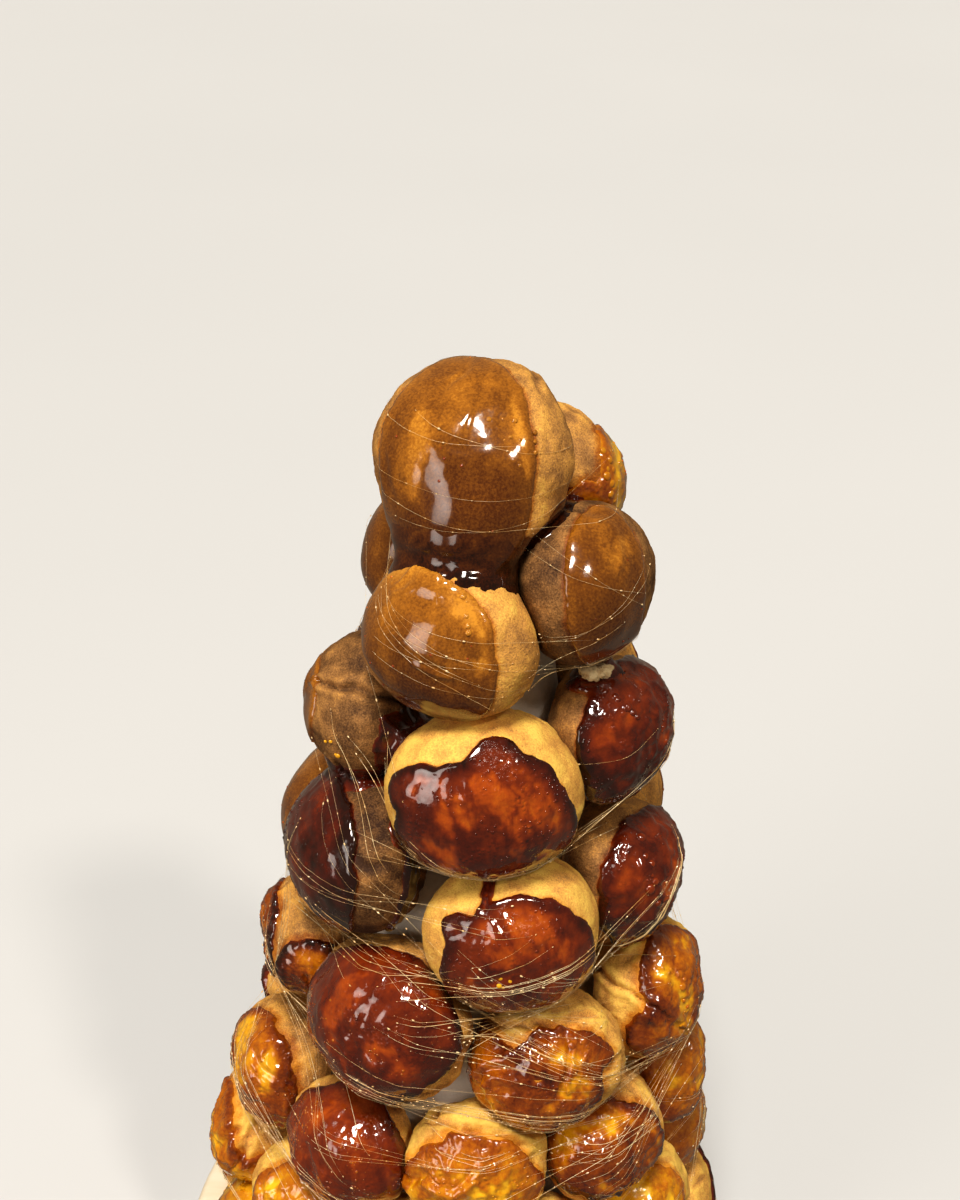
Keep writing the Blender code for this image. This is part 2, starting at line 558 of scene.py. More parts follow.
class Shade(Graph):
    """A Principled material's nodes, with the patterns that the finishes share."""

    def __init__(self, name: str, fixed: dict[str, object]) -> None:
        """Starts a material.

        Args:
            name: Name of the material.
            fixed: Values of the shader's sockets that are the same all over.
        """
        self.material = bpy.data.materials.new(name)
        self.material.use_nodes = True
        super().__init__(self.material.node_tree)
        self.tree.nodes.clear()
        self.shader = self.node("ShaderNodeBsdfPrincipled", None, fixed)
        output = self.node("ShaderNodeOutputMaterial")
        self.tree.links.new(self.shader.outputs[0], output.inputs[0])
        self.place = self.node("ShaderNodeTexCoord").outputs["Object"]

    def stretched(self, scale: Place) -> Socket:
        """Places scaled along the axes."""
        made = self.node("ShaderNodeMapping", None, {"Vector": self.place, "Scale": scale})
        return made.outputs[0]

    def mottle(
        self,
        pitch: float,
        detail: float = 2.0,
        rough: float = 0.5,
        place: object = None,
        swirl: float = 0.0,
    ) -> Amount:
        """Noise from 0 to 1.

        Args:
            pitch: Size of its lumps in metres.
            detail: Finer layers.
            rough: How strong they are.
            place: Where to read it, the object's own places by default.
            swirl: How far its lumps are drawn into one another.

        Returns:
            The noise.
        """
        sockets = {
            "Vector": place or self.place,
            "Scale": 1 / pitch,
            "Detail": detail,
            "Roughness": rough,
            "Distortion": swirl,
        }
        return Amount(self, self.node("ShaderNodeTexNoise", None, sockets).outputs[0])

    def cells(self, pitch: float) -> Amount:
        """Distance to the nearest of points scattered a pitch apart, in pitches."""
        sockets = {"Vector": self.place, "Scale": 1 / pitch}
        return Amount(self, self.node("ShaderNodeTexVoronoi", None, sockets).outputs["Distance"])

    def held(self, name: str) -> Amount:
        """A number held at the piece's points."""
        made = self.node("ShaderNodeAttribute", {"attribute_name": name})
        return Amount(self, made.outputs["Fac"])

    def ramp(self, amount: Amount, stops: Stops) -> Socket:
        """Colours along an amount from 0 to 1."""
        colours = [(place, tint(code)) for place, code in stops]
        return self.node("ShaderNodeValToRGB", {"stops": colours}, {0: amount}).outputs[0]

    def mix(self, share: Amount, first: object, second: object) -> Socket:
        """Colour from first to second by a share."""
        made = self.node("ShaderNodeMix", {"data_type": "RGBA"}, {0: share, 6: first, 7: second})
        return made.outputs[2]

    def raise_by(self, height: Amount, distance: float) -> None:
        """Bumps the surface by a height from 0 to 1 over a distance in metres."""
        made = self.node("ShaderNodeBump", None, {"Height": height, "Distance": distance})
        self.feed(self.shader.inputs["Normal"], made.outputs[0])

    def colour(self, value: object) -> None:
        """Feeds the base colour."""
        self.feed(self.shader.inputs["Base Color"], value)

    def roughness(self, value: object) -> None:
        """Feeds the roughness."""
        self.feed(self.shader.inputs["Roughness"], value)


@dataclass(frozen=True)
class CrustFinish:
    """Baked choux crust: matte, speckled and finely wrinkled, stained where caramel has run thin."""

    name: str = "choux_crust"
    stops: Stops = (
        (0.0, "#f1c963"),
        (0.25, "#dba352"),
        (0.5, "#a87a45"),
        (0.75, "#73502c"),
        (1.0, "#3e2513"),
    )
    stained: Stops = ((0.0, "#d98a1c"), (0.45, "#98500f"), (1.0, "#431b07"))
    speckle: float = 0.5 * MM
    wrinkle: float = 2.4 * MM
    blotch: float = 9 * MM
    pit: float = 1.3 * MM  # from one pit to the next
    by_speckle: float = 0.95  # how strongly the specks brown it
    by_wrinkle: float = 0.36
    by_blotch: float = 0.3
    frayed: float = 0.9  # how far the wrinkles fray a stain's edge
    strength: float = 0.85  # of the stain where it is full
    relief: float = 0.5 * MM

    def material(self) -> Material:
        """Builds the material.

        Returns:
            The material.
        """
        shade = Shade(self.name, {"Specular IOR Level": 0.25})
        fine = shade.mottle(self.speckle, detail=3, rough=0.75)
        wrinkles = shade.mottle(self.wrinkle, detail=4, rough=0.65)
        blotches = shade.mottle(self.blotch)
        toast = shade.held("toast") + (blotches - 0.5) * self.by_blotch
        toast = toast + (wrinkles - 0.5) * self.by_wrinkle + (fine - 0.5) * self.by_speckle
        stain = (shade.held("stain") + (wrinkles - 0.5) * self.frayed).stepped(0.25, 0.95)
        bare, stained = shade.ramp(toast, self.stops), shade.ramp(toast, self.stained)
        shade.colour(shade.mix(stain * self.strength, bare, stained))
        shade.roughness(0.5 + fine * 0.35 - stain * 0.3)
        pits = shade.cells(self.pit).stepped(0.0, 0.4)
        shade.raise_by(wrinkles * 0.6 + fine * 0.34 + pits * 0.2, self.relief)
        return shade.material


@dataclass(frozen=True)
class CaramelFinish:
    """Hard glossy caramel, light where it is thin and dark where it is deep."""

    name: str
    stops: Stops
    swell: float  # how far broad waves move the surface
    ripple: float  # the same for small ones
    blister: float  # the same for bubbles under the surface
    grain: float  # how strongly fine mottling shows in its colour
    speck: float = 1.1 * MM  # size of that mottling
    cloud: float = 8 * MM  # size of the broad mottling
    clouding: float = 0.55  # how strongly that shows
    drawn: float = 0.45  # how much slower it changes down the tower than across
    shine: float = 0.05  # roughness of its glassy coat
    bend: float = 1.62  # how strongly that coat mirrors, as an index of refraction
    wave: float = 7 * MM
    crinkle: float = 2.2 * MM  # size of the small waves
    calm: float = 0.15  # share of their height that is left between the crinkled places
    bubble: float = 1.35 * MM  # from one bubble to the next

    def material(self) -> Material:
        """Builds the material.

        Returns:
            The material.
        """
        fixed = {
            "Coat Weight": 1.0,
            "Coat Roughness": self.shine,
            "Coat IOR": self.bend,
            "Specular IOR Level": 0.12,
        }
        shade = Shade(self.name, fixed)
        flow = shade.stretched((1.0, 1.0, self.drawn))
        broad = shade.mottle(self.cloud, detail=4, rough=0.6, place=flow, swirl=0.8)
        fine = shade.mottle(self.speck, detail=3, rough=0.6)
        dark = shade.held("darkness") + (broad - 0.5) * self.clouding + (fine - 0.5) * self.grain
        shade.colour(shade.ramp(dark, self.stops))
        shade.roughness(0.1 + fine * 0.14)
        waves = shade.mottle(self.wave, detail=1)
        crinkled = shade.mottle(11 * MM, detail=1).stepped(0.4, 0.57)
        ripples = shade.mottle(self.crinkle, detail=3, rough=0.6)
        ripples = ripples * (crinkled * (1 - self.calm) + self.calm)
        bubbled = shade.mottle(8 * MM, detail=1).stepped(0.5, 0.62)
        bubbles = (1 - shade.cells(self.bubble).stepped(0.05, 0.6)) * bubbled
        height = waves * self.swell + ripples * self.ripple + bubbles * self.blister
        shade.raise_by(height * (1 / MM), 1 * MM)
        return shade.material


CARAMELS = (
    CaramelFinish(
        "glaze",
        stops=(
            (0.0, "#cf9030"), (0.22, "#a66a1e"), (0.45, "#7a4813"),
            (0.65, "#572c0b"), (0.85, "#3c1704"), (1.0, "#1e0802"),
        ),
        swell=0.12 * MM, ripple=0.02 * MM, blister=0.03 * MM, grain=0.6, speck=0.7 * MM,
        cloud=12 * MM, shine=0.08, bend=1.5,
    ),
    CaramelFinish(
        "dip",
        stops=(
            (0.0, "#e8981e"), (0.22, "#cb6e10"), (0.42, "#a4480b"),
            (0.62, "#7a2c08"), (0.82, "#501607"), (1.0, "#240904"),
        ),
        swell=0.4 * MM, ripple=0.32 * MM, blister=0.2 * MM, grain=0.2,
    ),
    CaramelFinish(
        "syrup",
        stops=(
            (0.0, "#f2ba24"), (0.22, "#d2930f"), (0.45, "#b6690a"),
            (0.65, "#8a4008"), (0.85, "#581d05"), (1.0, "#280b03"),
        ),
        swell=0.8 * MM, ripple=0.38 * MM, blister=0.2 * MM, grain=0.4,
    ),
)


@dataclass(frozen=True)
class SugarFinish:
    """Pale gold glassy sugar, as pulled into threads."""

    stops: Stops = ((0.3, "#deab5c"), (0.62, "#fbe6b4"))
    streak: float = 14 * MM

    def material(self) -> Material:
        """Builds the material.

        Returns:
            The material.
        """
        fixed = {"Coat Weight": 1.0, "Coat Roughness": 0.1, "Specular IOR Level": 0.9}
        shade = Shade("spun_sugar", fixed)
        along = shade.mottle(self.streak)
        shade.colour(shade.ramp(along, self.stops))
        shade.roughness(0.18 + along * 0.15)
        return shade.material


@dataclass(frozen=True)
class ConeFinish:
    """Smooth white core with faint smudges."""

    stops: Stops = ((0.3, "#e9e4da"), (0.62, "#dcd3c4"), (0.8, "#b9a184"))
    smudge: float = 16 * MM
    tooth: float = 1.1 * MM  # size of its fine roughness
    relief: float = 0.12 * MM

    def material(self) -> Material:
        """Builds the material.

        Returns:
            The material.
        """
        shade = Shade("core_white", {"Specular IOR Level": 0.4})
        smudges = shade.mottle(self.smudge, detail=4, rough=0.6)
        shade.colour(shade.ramp(smudges, self.stops))
        shade.roughness(0.42 + smudges * 0.2)
        shade.raise_by(shade.mottle(self.tooth, detail=3), self.relief)
        return shade.material


@dataclass(frozen=True)
class WoodFinish:
    """Pale scrubbed maple with its grain along X."""

    stops: Stops = ((0.2, "#efe6d2"), (0.5, "#e6d8bd"), (0.75, "#d3bd98"))
    ring: float = 5 * MM
    board: float = 30 * MM  # size of the broad changes of tone
    fibre: float = 0.9 * MM
    relief: float = 0.2 * MM

    def material(self) -> Material:
        """Builds the material.

        Returns:
            The material.
        """
        shade = Shade("board_wood", {"Specular IOR Level": 0.4})
        along = shade.stretched((0.12, 1.0, 0.5))
        broad = shade.mottle(self.board, place=along)
        grain = shade.mottle(self.ring, detail=3, rough=0.6, place=along)
        fibres = shade.mottle(self.fibre, place=shade.stretched((0.05, 1.0, 0.6)))
        tone = grain * 0.6 + broad * 0.35 + fibres * 0.2 - 0.1
        shade.colour(shade.ramp(tone, self.stops))
        shade.roughness(0.42 + fibres * 0.2)
        shade.raise_by(fibres * 0.7 + grain * 0.3, self.relief)
        return shade.material


@dataclass(frozen=True)
class FloorFinish:
    """Matte cream floor."""

    stops: Stops = ((0.3, "#c8cacc"), (0.7, "#caccce"))
    cloud: float = 0.6

    def material(self) -> Material:
        """Builds the material.

        Returns:
            The material.
        """
        shade = Shade("cream_floor", {"Roughness": 1.0, "Specular IOR Level": 0.0})
        shade.colour(shade.ramp(shade.mottle(self.cloud), self.stops))
        return shade.material


@dataclass(frozen=True)
class BackdropFinish:
    """Evenly lit cream cloth."""

    code: str = "#d0cdc5"

    def material(self) -> Material:
        """Builds the material.

        Returns:
            The material.
        """
        fixed = {
            "Roughness": 1.0,
            "Specular IOR Level": 0.0,
            "Base Color": tint("#000000"),
            "Emission Color": tint(self.code),
            "Emission Strength": 1.0,
        }
        return Shade("backdrop", fixed).material


# Buns


@dataclass(frozen=True)
class Patch:
    """An oval of caramel on a bun's face, in shares of the face's half-width, x right and y up."""

    x: float
    y: float
    half_width: float
    half_height: float
    turn: float = 0.0  # degrees, from x towards y


@dataclass(frozen=True)
class Layer:
    """How one sort of caramel lies."""

    finish: str
    body: float  # thickness
    lip: float  # thickness of its rounded edge
    edge: float  # width of that edge
    ragged: float  # how far its edge wanders
    folds: float  # height of the folds in it
    windows: float  # how much of it has run thin
    bubbles: float  # small bubbles for each square centimetre
    uneven: float  # fine unevenness of its thickness, which frays a thin edge
    filled: float  # how much of the crust's small wrinkles it fills
    stain: float  # how far past its edge the crust is stained
    tones: Range  # range of its tone on the buns that the guests don't see
    rim: float = 0.12  # how much darker its rounded edge is
    outline: float = 0.0  # how much darker a soft line along its edge is


class Pour(Enum):
    """The sorts of caramel on the buns."""

    GLAZE = Layer(
        "glaze", body=0.34 * MM, lip=0.50 * MM, edge=1.2 * MM, ragged=1.1 * MM, folds=0.03 * MM,
        windows=0.3, bubbles=1.0, uneven=0.012 * MM, filled=0.92, stain=2.2 * MM, tones=(0.4, 0.6),
        rim=-0.16,
    )
    DIP = Layer(
        "dip", body=0.70 * MM, lip=1.30 * MM, edge=1.2 * MM, ragged=1.9 * MM, folds=0.16 * MM,
        windows=0.9, bubbles=14.0, uneven=0.04 * MM, filled=0.7, stain=1.6 * MM, tones=(0.5, 0.75),
    )
    CRACKLE = Layer(
        "dip", body=0.80 * MM, lip=1.05 * MM, edge=1.1 * MM, ragged=1.8 * MM, folds=0.55 * MM,
        windows=0.4, bubbles=20.0, uneven=0.25 * MM, filled=0.1, stain=1.6 * MM, tones=(0.6, 0.76),
    )
    SYRUP = Layer(
        "syrup", body=0.50 * MM, lip=0.85 * MM, edge=1.5 * MM, ragged=2.9 * MM, folds=0.45 * MM,
        windows=1.0, bubbles=10.0, uneven=0.18 * MM, filled=0.3, stain=5.0 * MM, tones=(0.28, 0.58),
        outline=0.15,
    )


@dataclass(frozen=True)
class Dressing:
    """What one bun wears: its crust's browning and its caramel."""

    toast: float  # 0 pale to 1 brown
    pour: Pour
    tone: float  # 0 amber to 1 near black
    patches: tuple[Patch, ...]
    fall: float = 0.1  # how much darker the caramel gets down the face: partly caramel pooled low, partly painted shade
    cleft: float = 0.35  # depth of the crust's clefts, in millimetres
    crease: tuple[float, float] | None = None  # a cleft right across: height on the face, and tilt
    spots: tuple[Patch, ...] = ()  # where the caramel has run thinnest
    windows: float = 1.0  # how many more such places it has than its sort
    droop: float = 0.0  # how far the bun sags onto the one below, in millimetres
    lift: float = 0.0  # how far its top stands up towards the one above, in millimetres


DRESSINGS: dict[str, Dressing] = {
    "1_1": Dressing(
        0.44, Pour.GLAZE, 0.48,
        (Patch(-0.17, 0.0, 0.79, 1.04, -3), Patch(-0.36, -1.15, 0.7, 0.35)),
        spots=(Patch(0.5, 0.2, 0.1, 0.45, 8), Patch(-0.6, 0.0, 0.16, 0.5)),
        fall=0.16, droop=5.0,
    ),
    "2_1": Dressing(0.50, Pour.GLAZE, 0.48, (Patch(-0.5, 0.0, 0.8, 1.2),)),
    "2_2": Dressing(
        0.28, Pour.GLAZE, 0.42,
        (Patch(-0.42, -0.2, 0.74, 0.95), Patch(0.1, -0.45, 0.5, 0.62), Patch(0.22, 0.3, 0.42, 0.2, -50)),
        spots=(Patch(0.24, 0.3, 0.36, 0.12, -52), Patch(0.42, -0.3, 0.1, 0.2)),
        fall=0.26, cleft=0.7, crease=(0.74, 6.0), lift=3.0,
    ),
    "2_3": Dressing(
        0.74, Pour.GLAZE, 0.52,
        (Patch(0.32, -0.12, 0.58, 1.0, 14),),
        spots=(Patch(0.4, 0.4, 0.2, 0.24, -20),),
    ),
    "2_4": Dressing(0.42, Pour.SYRUP, 0.30, (Patch(0.8, 0.1, 0.22, 0.65), Patch(0.5, -0.3, 0.3, 0.24))),
    "3_1": Dressing(
        0.70, Pour.GLAZE, 0.45,
        (Patch(0.78, -0.3, 0.3, 0.75), Patch(-0.88, 0.1, 0.2, 0.7)),
        cleft=1.0, crease=(0.12, -14.0),
    ),
    "3_2": Dressing(
        0.14, Pour.DIP, 0.66,
        (
            Patch(0.04, -0.42, 0.94, 0.76), Patch(0.13, 0.24, 0.4, 0.44),
            Patch(0.5, 0.12, 0.42, 0.36, -30), Patch(-0.72, -0.02, 0.26, 0.34),
        ),
        spots=(Patch(0.14, -0.04, 0.42, 0.24, -30), Patch(-0.5, -0.3, 0.12, 0.26)),
    ),
    "3_3": Dressing(
        0.46, Pour.CRACKLE, 0.66,
        (Patch(0.42, -0.05, 0.7, 1.05), Patch(-0.35, 0.52, 0.27, 0.13)),
    ),
    "4_1": Dressing(0.40, Pour.GLAZE, 0.42, (Patch(-0.5, -0.1, 0.6, 0.95),)),
    "4_2": Dressing(
        0.84, Pour.DIP, 0.80,
        (Patch(-0.52, -0.1, 0.6, 1.15), Patch(0.55, -0.4, 0.07, 0.5)),
        windows=0.3,
    ),
    "4_3": Dressing(
        0.12, Pour.DIP, 0.60,
        (
            Patch(0.1, -0.5, 0.9, 0.82), Patch(-0.36, 0.42, 0.1, 0.3), Patch(0.06, 0.26, 0.46, 0.24),
            Patch(0.62, 0.02, 0.32, 0.24, -20), Patch(-0.66, 0.02, 0.17, 0.2),
        ),
        spots=(
            Patch(0.34, 0.12, 0.2, 0.1, -35), Patch(-0.08, -0.32, 0.22, 0.2), Patch(0.7, -0.2, 0.1, 0.14),
        ),
        windows=0.6,
    ),
    "4_4": Dressing(
        0.46, Pour.CRACKLE, 0.64,
        (Patch(0.52, -0.12, 0.68, 1.0),),
        spots=(Patch(0.8, -0.2, 0.14, 0.4),),
    ),
    "5_1": Dressing(
        0.40, Pour.SYRUP, 0.66,
        (Patch(-0.84, 0.1, 0.3, 0.95), Patch(-0.1, -0.6, 0.55, 0.42)),
        spots=(Patch(0.0, -0.45, 0.34, 0.3),),
    ),
    "5_2": Dressing(
        0.36, Pour.DIP, 0.65,
        (Patch(-0.3, -0.1, 0.93, 0.93),),
        spots=(Patch(-0.1, -0.42, 0.3, 0.12),),
        windows=0.65,
    ),
    "5_3": Dressing(
        0.24, Pour.SYRUP, 0.52,
        (
            Patch(0.25, 0.05, 0.66, 0.42), Patch(0.42, -0.5, 0.4, 0.42), Patch(-0.7, -0.35, 0.38, 0.6),
            Patch(-0.1, -0.75, 0.5, 0.3),
        ),
        cleft=0.8, crease=(0.5, 10.0),
    ),
    "5_4": Dressing(
        0.14, Pour.SYRUP, 0.50,
        (Patch(0.55, 0.15, 0.55, 0.7), Patch(0.5, -0.6, 0.55, 0.32)),
        cleft=0.8, crease=(-0.3, -28.0),
    ),
    "6_1": Dressing(0.34, Pour.SYRUP, 0.50, (Patch(-0.45, -0.2, 0.6, 0.98),)),
    "6_2": Dressing(0.24, Pour.DIP, 0.56, (Patch(-0.25, -0.25, 0.92, 0.98),), windows=0.55),
    "6_3": Dressing(
        0.10, Pour.SYRUP, 0.35,
        (Patch(0.0, -0.55, 1.0, 0.78), Patch(-0.2, 0.15, 0.35, 0.25)),
        cleft=1.0, crease=(0.42, -8.0),
    ),
    "6_4": Dressing(0.24, Pour.SYRUP, 0.60, (Patch(0.15, -0.2, 0.95, 0.78),)),
    "6_5": Dressing(0.22, Pour.SYRUP, 0.40, (Patch(0.4, -0.05, 0.6, 0.85),)),
    "7_1": Dressing(
        0.14, Pour.SYRUP, 0.38,
        (Patch(-0.85, -0.1, 0.45, 0.9), Patch(-0.1, -0.85, 0.6, 0.25)),
        cleft=1.0, crease=(0.1, 60.0),
    ),
    "7_2": Dressing(0.12, Pour.SYRUP, 0.34, (Patch(-0.1, -0.2, 0.9, 0.8),)),
    "7_3": Dressing(0.12, Pour.SYRUP, 0.30, (Patch(0.1, -0.3, 0.9, 0.8),)),
    "7_4": Dressing(0.10, Pour.SYRUP, 0.34, (Patch(0.3, -0.3, 0.8, 0.8),)),
    "7_5": Dressing(0.12, Pour.SYRUP, 0.22, (Patch(0.1, -0.2, 0.9, 0.8),)),
}


@dataclass
class Wall:
    """A flat where a bun meets a neighbour: its way out, and how far it is from the bun's middle."""

    way: Array
    reach: float


@dataclass
class Bun:
    """The smooth outside of one choux bun, read from its solid."""

    label: str  # tier and place, such as "3_2"
    corners: Array  # the solid's corners
    stiffness: float = 0.05  # how hard the fitted form holds back from the corners
    middle: Array = field(init=False)
    crown: Array = field(init=False)  # the way its crown looks
    size: float = field(init=False)  # mean distance from the middle to the corners
    weights: Array = field(init=False)
    walls: list[Wall] = field(init=False)

    def __post_init__(self) -> None:
        """Fits a smooth form to the corners."""
        self.middle = self.corners.mean(0)
        away = self.corners - self.middle
        reach = np.linalg.norm(away, axis=1)
        self.size = float(reach.mean())
        turn = math.atan2(self.middle[0], -self.middle[1])
        lean = SIDE_LEAN
        if self.label == TOP_BUN:
            turn, lean = 0.0, TOP_LEAN
        flat = math.cos(lean)
        self.crown = np.array([math.sin(turn) * flat, -math.cos(turn) * flat, math.sin(lean)])
        terms = self._terms(away / reach[:, None])
        hold_back = self.stiffness * np.eye(terms.shape[1])
        self.weights = np.linalg.solve(terms.T @ terms + hold_back, terms.T @ (reach - self.size))
        self.walls = [Wall(-self.crown, float((away @ -self.crown).max()))]

    @property
    def tier(self) -> int:
        """Its tier, counted from the top."""
        return int(self.label.split("_")[0])

    @property
    def faces_guests(self) -> bool:
        """Whether it shows from the serving side."""
        return self.label in DRESSINGS

    @staticmethod
    def _terms(ways: Array) -> Array:
        """Works out the 25 smooth forms, of third and fourth degree, that the outside is made of.

        Args:
            ways: N x 3 directions.

        Returns:
            N x 25 values.
        """
        x, y, z = ways.T
        made = [
            x**i * y**j * z ** (degree - i - j)
            for degree in (3, 4)
            for i in range(degree + 1)
            for j in range(degree + 1 - i)
        ]
        return np.stack(made, 1)

    def reach(self, ways: Array) -> Array:
        """Distance from the middle to the outside, before wrinkles."""
        return self.size + self._terms(ways) @ self.weights

    def spread_out(self, ways: Array) -> Array:
        """Where it reads the noise, well apart from its neighbours."""
        return self.middle * 3 + ways * self.size

    def held_in(self, ways: Array, reach: Array, back: float, blend: float) -> Array:
        """Holds distances behind the walls.

        Args:
            ways: N x 3 directions.
            reach: N distances.
            back: How far to stay behind each wall.
            blend: Width of the rounding along a wall's rim.

        Returns:
            N distances.
        """
        for wall in self.walls:
            facing = np.maximum(ways @ wall.way, 0.05)
            limit = (wall.reach - back) / facing
            reach = soft_min(reach, limit, blend)
        return reach

    def face(self) -> Array:
        """Finds the face that the caramel is laid on.

        Returns:
            Rows right, up and outwards.
        """
        out = unit(np.array(EYE) - self.middle) if self.faces_guests else self.crown
        right = unit(np.cross([0.0, 0.0, 1.0], out))
        return np.stack([right, np.cross(out, right), out])


def read_buns(nearby: float = 1.35, touching: float = 4 * MM) -> list[Bun]:
    """Reads the tower's buns, with walls between those that touch.

    Args:
        nearby: How far apart such buns' middles may be, as a share of their sizes.
        touching: How far apart their outsides may be.

    Returns:
        The buns, in the order of their nodes.
    """
    buns = []
    for name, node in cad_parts.items():
        if name.startswith("choux_"):
            corners = np.unique(np.round(places_of(node.data), 6), axis=0)
            buns.append(Bun(name.removeprefix("choux_"), corners))
    for one, other in combinations(buns, 2):
        apart = other.middle - one.middle
        distance = float(np.linalg.norm(apart))
        way = apart / distance
        near, far = float((one.corners @ way).max()), float((other.corners @ way).min())
        if distance <= nearby * (one.size + other.size) and far - near <= touching:
            meeting = (near + far) / 2
            one.walls.append(Wall(way, meeting - float(one.middle @ way)))
            other.walls.append(Wall(-way, float(other.middle @ way) - meeting))
    return buns


@dataclass
class Crust:
    """The baked outside of a bun."""

    bun: Bun
    dressing: Dressing
    noise: GradientNoise
    cells: int
    lump: float = 15 * MM  # sizes of the features
    knob: float = 6.0 * MM
    crease: float = 3.8 * MM
    cleft: float = 25 * MM
    cleft_parts: float = 20 * MM
    lump_height: float = 1.0  # in millimetres
    knob_height: float = 0.45
    crease_depth: float = 0.28
    cleft_depth: float = 1.8  # of the dressing's
    cleft_lip: float = 0.8
    lump_browning: float = 0.12  # from 0 to 1
    # the crust darker in its creases and clefts, and paler on its knobs and on the lips beside the clefts
    knob_darkening: float = -0.26
    crease_darkening: float = 0.08
    cleft_darkening: float = 0.16
    lip_darkening: float = -0.14
    back_browning: float = 0.10
    rougher: float = 1.9  # how much higher all of these are in the lower tiers

    def _clefts(self, ways: Array, places: Array) -> tuple[Array, Array]:
        """Finds where the crust has torn open.

        Args:
            ways: N x 3 directions.
            places: N x 3 places to read the noise at.

        Returns:
            N depths and N heights of the lips beside them, from 0 to 1.
        """
        line = self.noise.layers(places, self.cleft, 2, 0.35, shift=0.2)
        parts = ease(self.noise.at(places / self.cleft_parts + 5.1), 0.0, 0.35)
        split = ridge(line, 0.045) * parts
        lip = ridge(np.abs(line) - 0.11, 0.05) * parts
        if self.dressing.crease:
            line = self._from_crease(ways, places)
            split = np.maximum(split, ridge(line, 0.7))
            lip = np.maximum(lip, ridge(np.abs(line) - 1.9, 1.1))
        return split, lip

    def _from_crease(self, ways: Array, places: Array) -> Array:
        """Measures how far directions lie from the cleft that runs right across.

        Args:
            ways: N x 3 directions.
            places: N x 3 places to read the noise at.

        Returns:
            N distances in millimetres.
        """
        height, tilt = self.dressing.crease
        right, up, out = self.bun.face() @ ways.T
        wander = self.noise.layers(places, 9 * MM, 3, shift=1.7)
        away = up - height - right * math.tan(math.radians(min(tilt, 75.0)))
        away = away * math.cos(math.radians(tilt)) * self.bun.size / MM + wander * 3.2
        return away / np.clip(ease(out, 0.25, 0.65), 0.01, 1.0)

    def reach(self, ways: Array, filled: float = 0.0) -> tuple[Array, Array]:
        """Finds the bun's wrinkled outside.

        Args:
            ways: N x 3 directions.
            filled: How much of the small wrinkles caramel has filled, from 0 to 1.

        Returns:
            N distances from the bun's middle, and N values of browning from 0 pale to 1 brown.
        """
        bun, dressing = self.bun, self.dressing
        places = bun.spread_out(ways)
        lumps = self.noise.layers(places, self.lump, 2)
        knobs = self.noise.layers(places, self.knob, 2, shift=0.4)
        creases = np.abs(self.noise.layers(places, self.crease, 2, shift=0.9))
        creases = np.maximum(1 - creases * 2.2, 0) ** 3
        split, lip = self._clefts(ways, places)
        depth = dressing.cleft * MM
        rough = self.rougher if bun.tier >= LOWER_FROM else 1.0
        bare = 1 - filled
        reach = bun.reach(ways) + lumps * self.lump_height * MM * rough
        reach = reach + knobs * self.knob_height * MM * rough * bare
        reach += (
            -creases * self.crease_depth * MM * rough * bare
            - split * depth * self.cleft_depth * bare
            + lip * depth * self.cleft_lip
        )
        up = ways @ bun.face()[1]
        reach += dressing.droop * MM * ease(-up, 0.3, 0.95) + dressing.lift * MM * ease(up, 0.45, 1.0)
        reach = bun.held_in(ways, reach, 0.25 * MM, 1.6 * MM)
        # the tone follows the relief: darker in creases and clefts, paler on knobs and cleft lips
        toast = dressing.toast + self.lump_browning * lumps + self.knob_darkening * knobs
        toast = toast + self.back_browning * -(ways @ bun.crown)
        toast += self.crease_darkening * creases + self.cleft_darkening * split + self.lip_darkening * lip
        return reach, toast

    def build(self, material: Material, cap: "CaramelCap") -> Piece:
        """Makes the piece.

        Args:
            material: The crust's finish.
            cap: The caramel that it wears, which stains it.

        Returns:
            The piece.
        """
        grid = BallGrid.of(self.cells)
        reach, toast = self.reach(grid.directions)
        points = self.bun.middle + grid.directions * reach[:, None]
        values = {"toast": toast, "stain": cap.stain(grid.directions)}
        label = self.bun.label
        piece = new_piece(f"crust_{label}", (points, grid.quads, values), material)
        return settle(piece, f"choux_crust_{self.bun.tier}", f"choux_{label}")


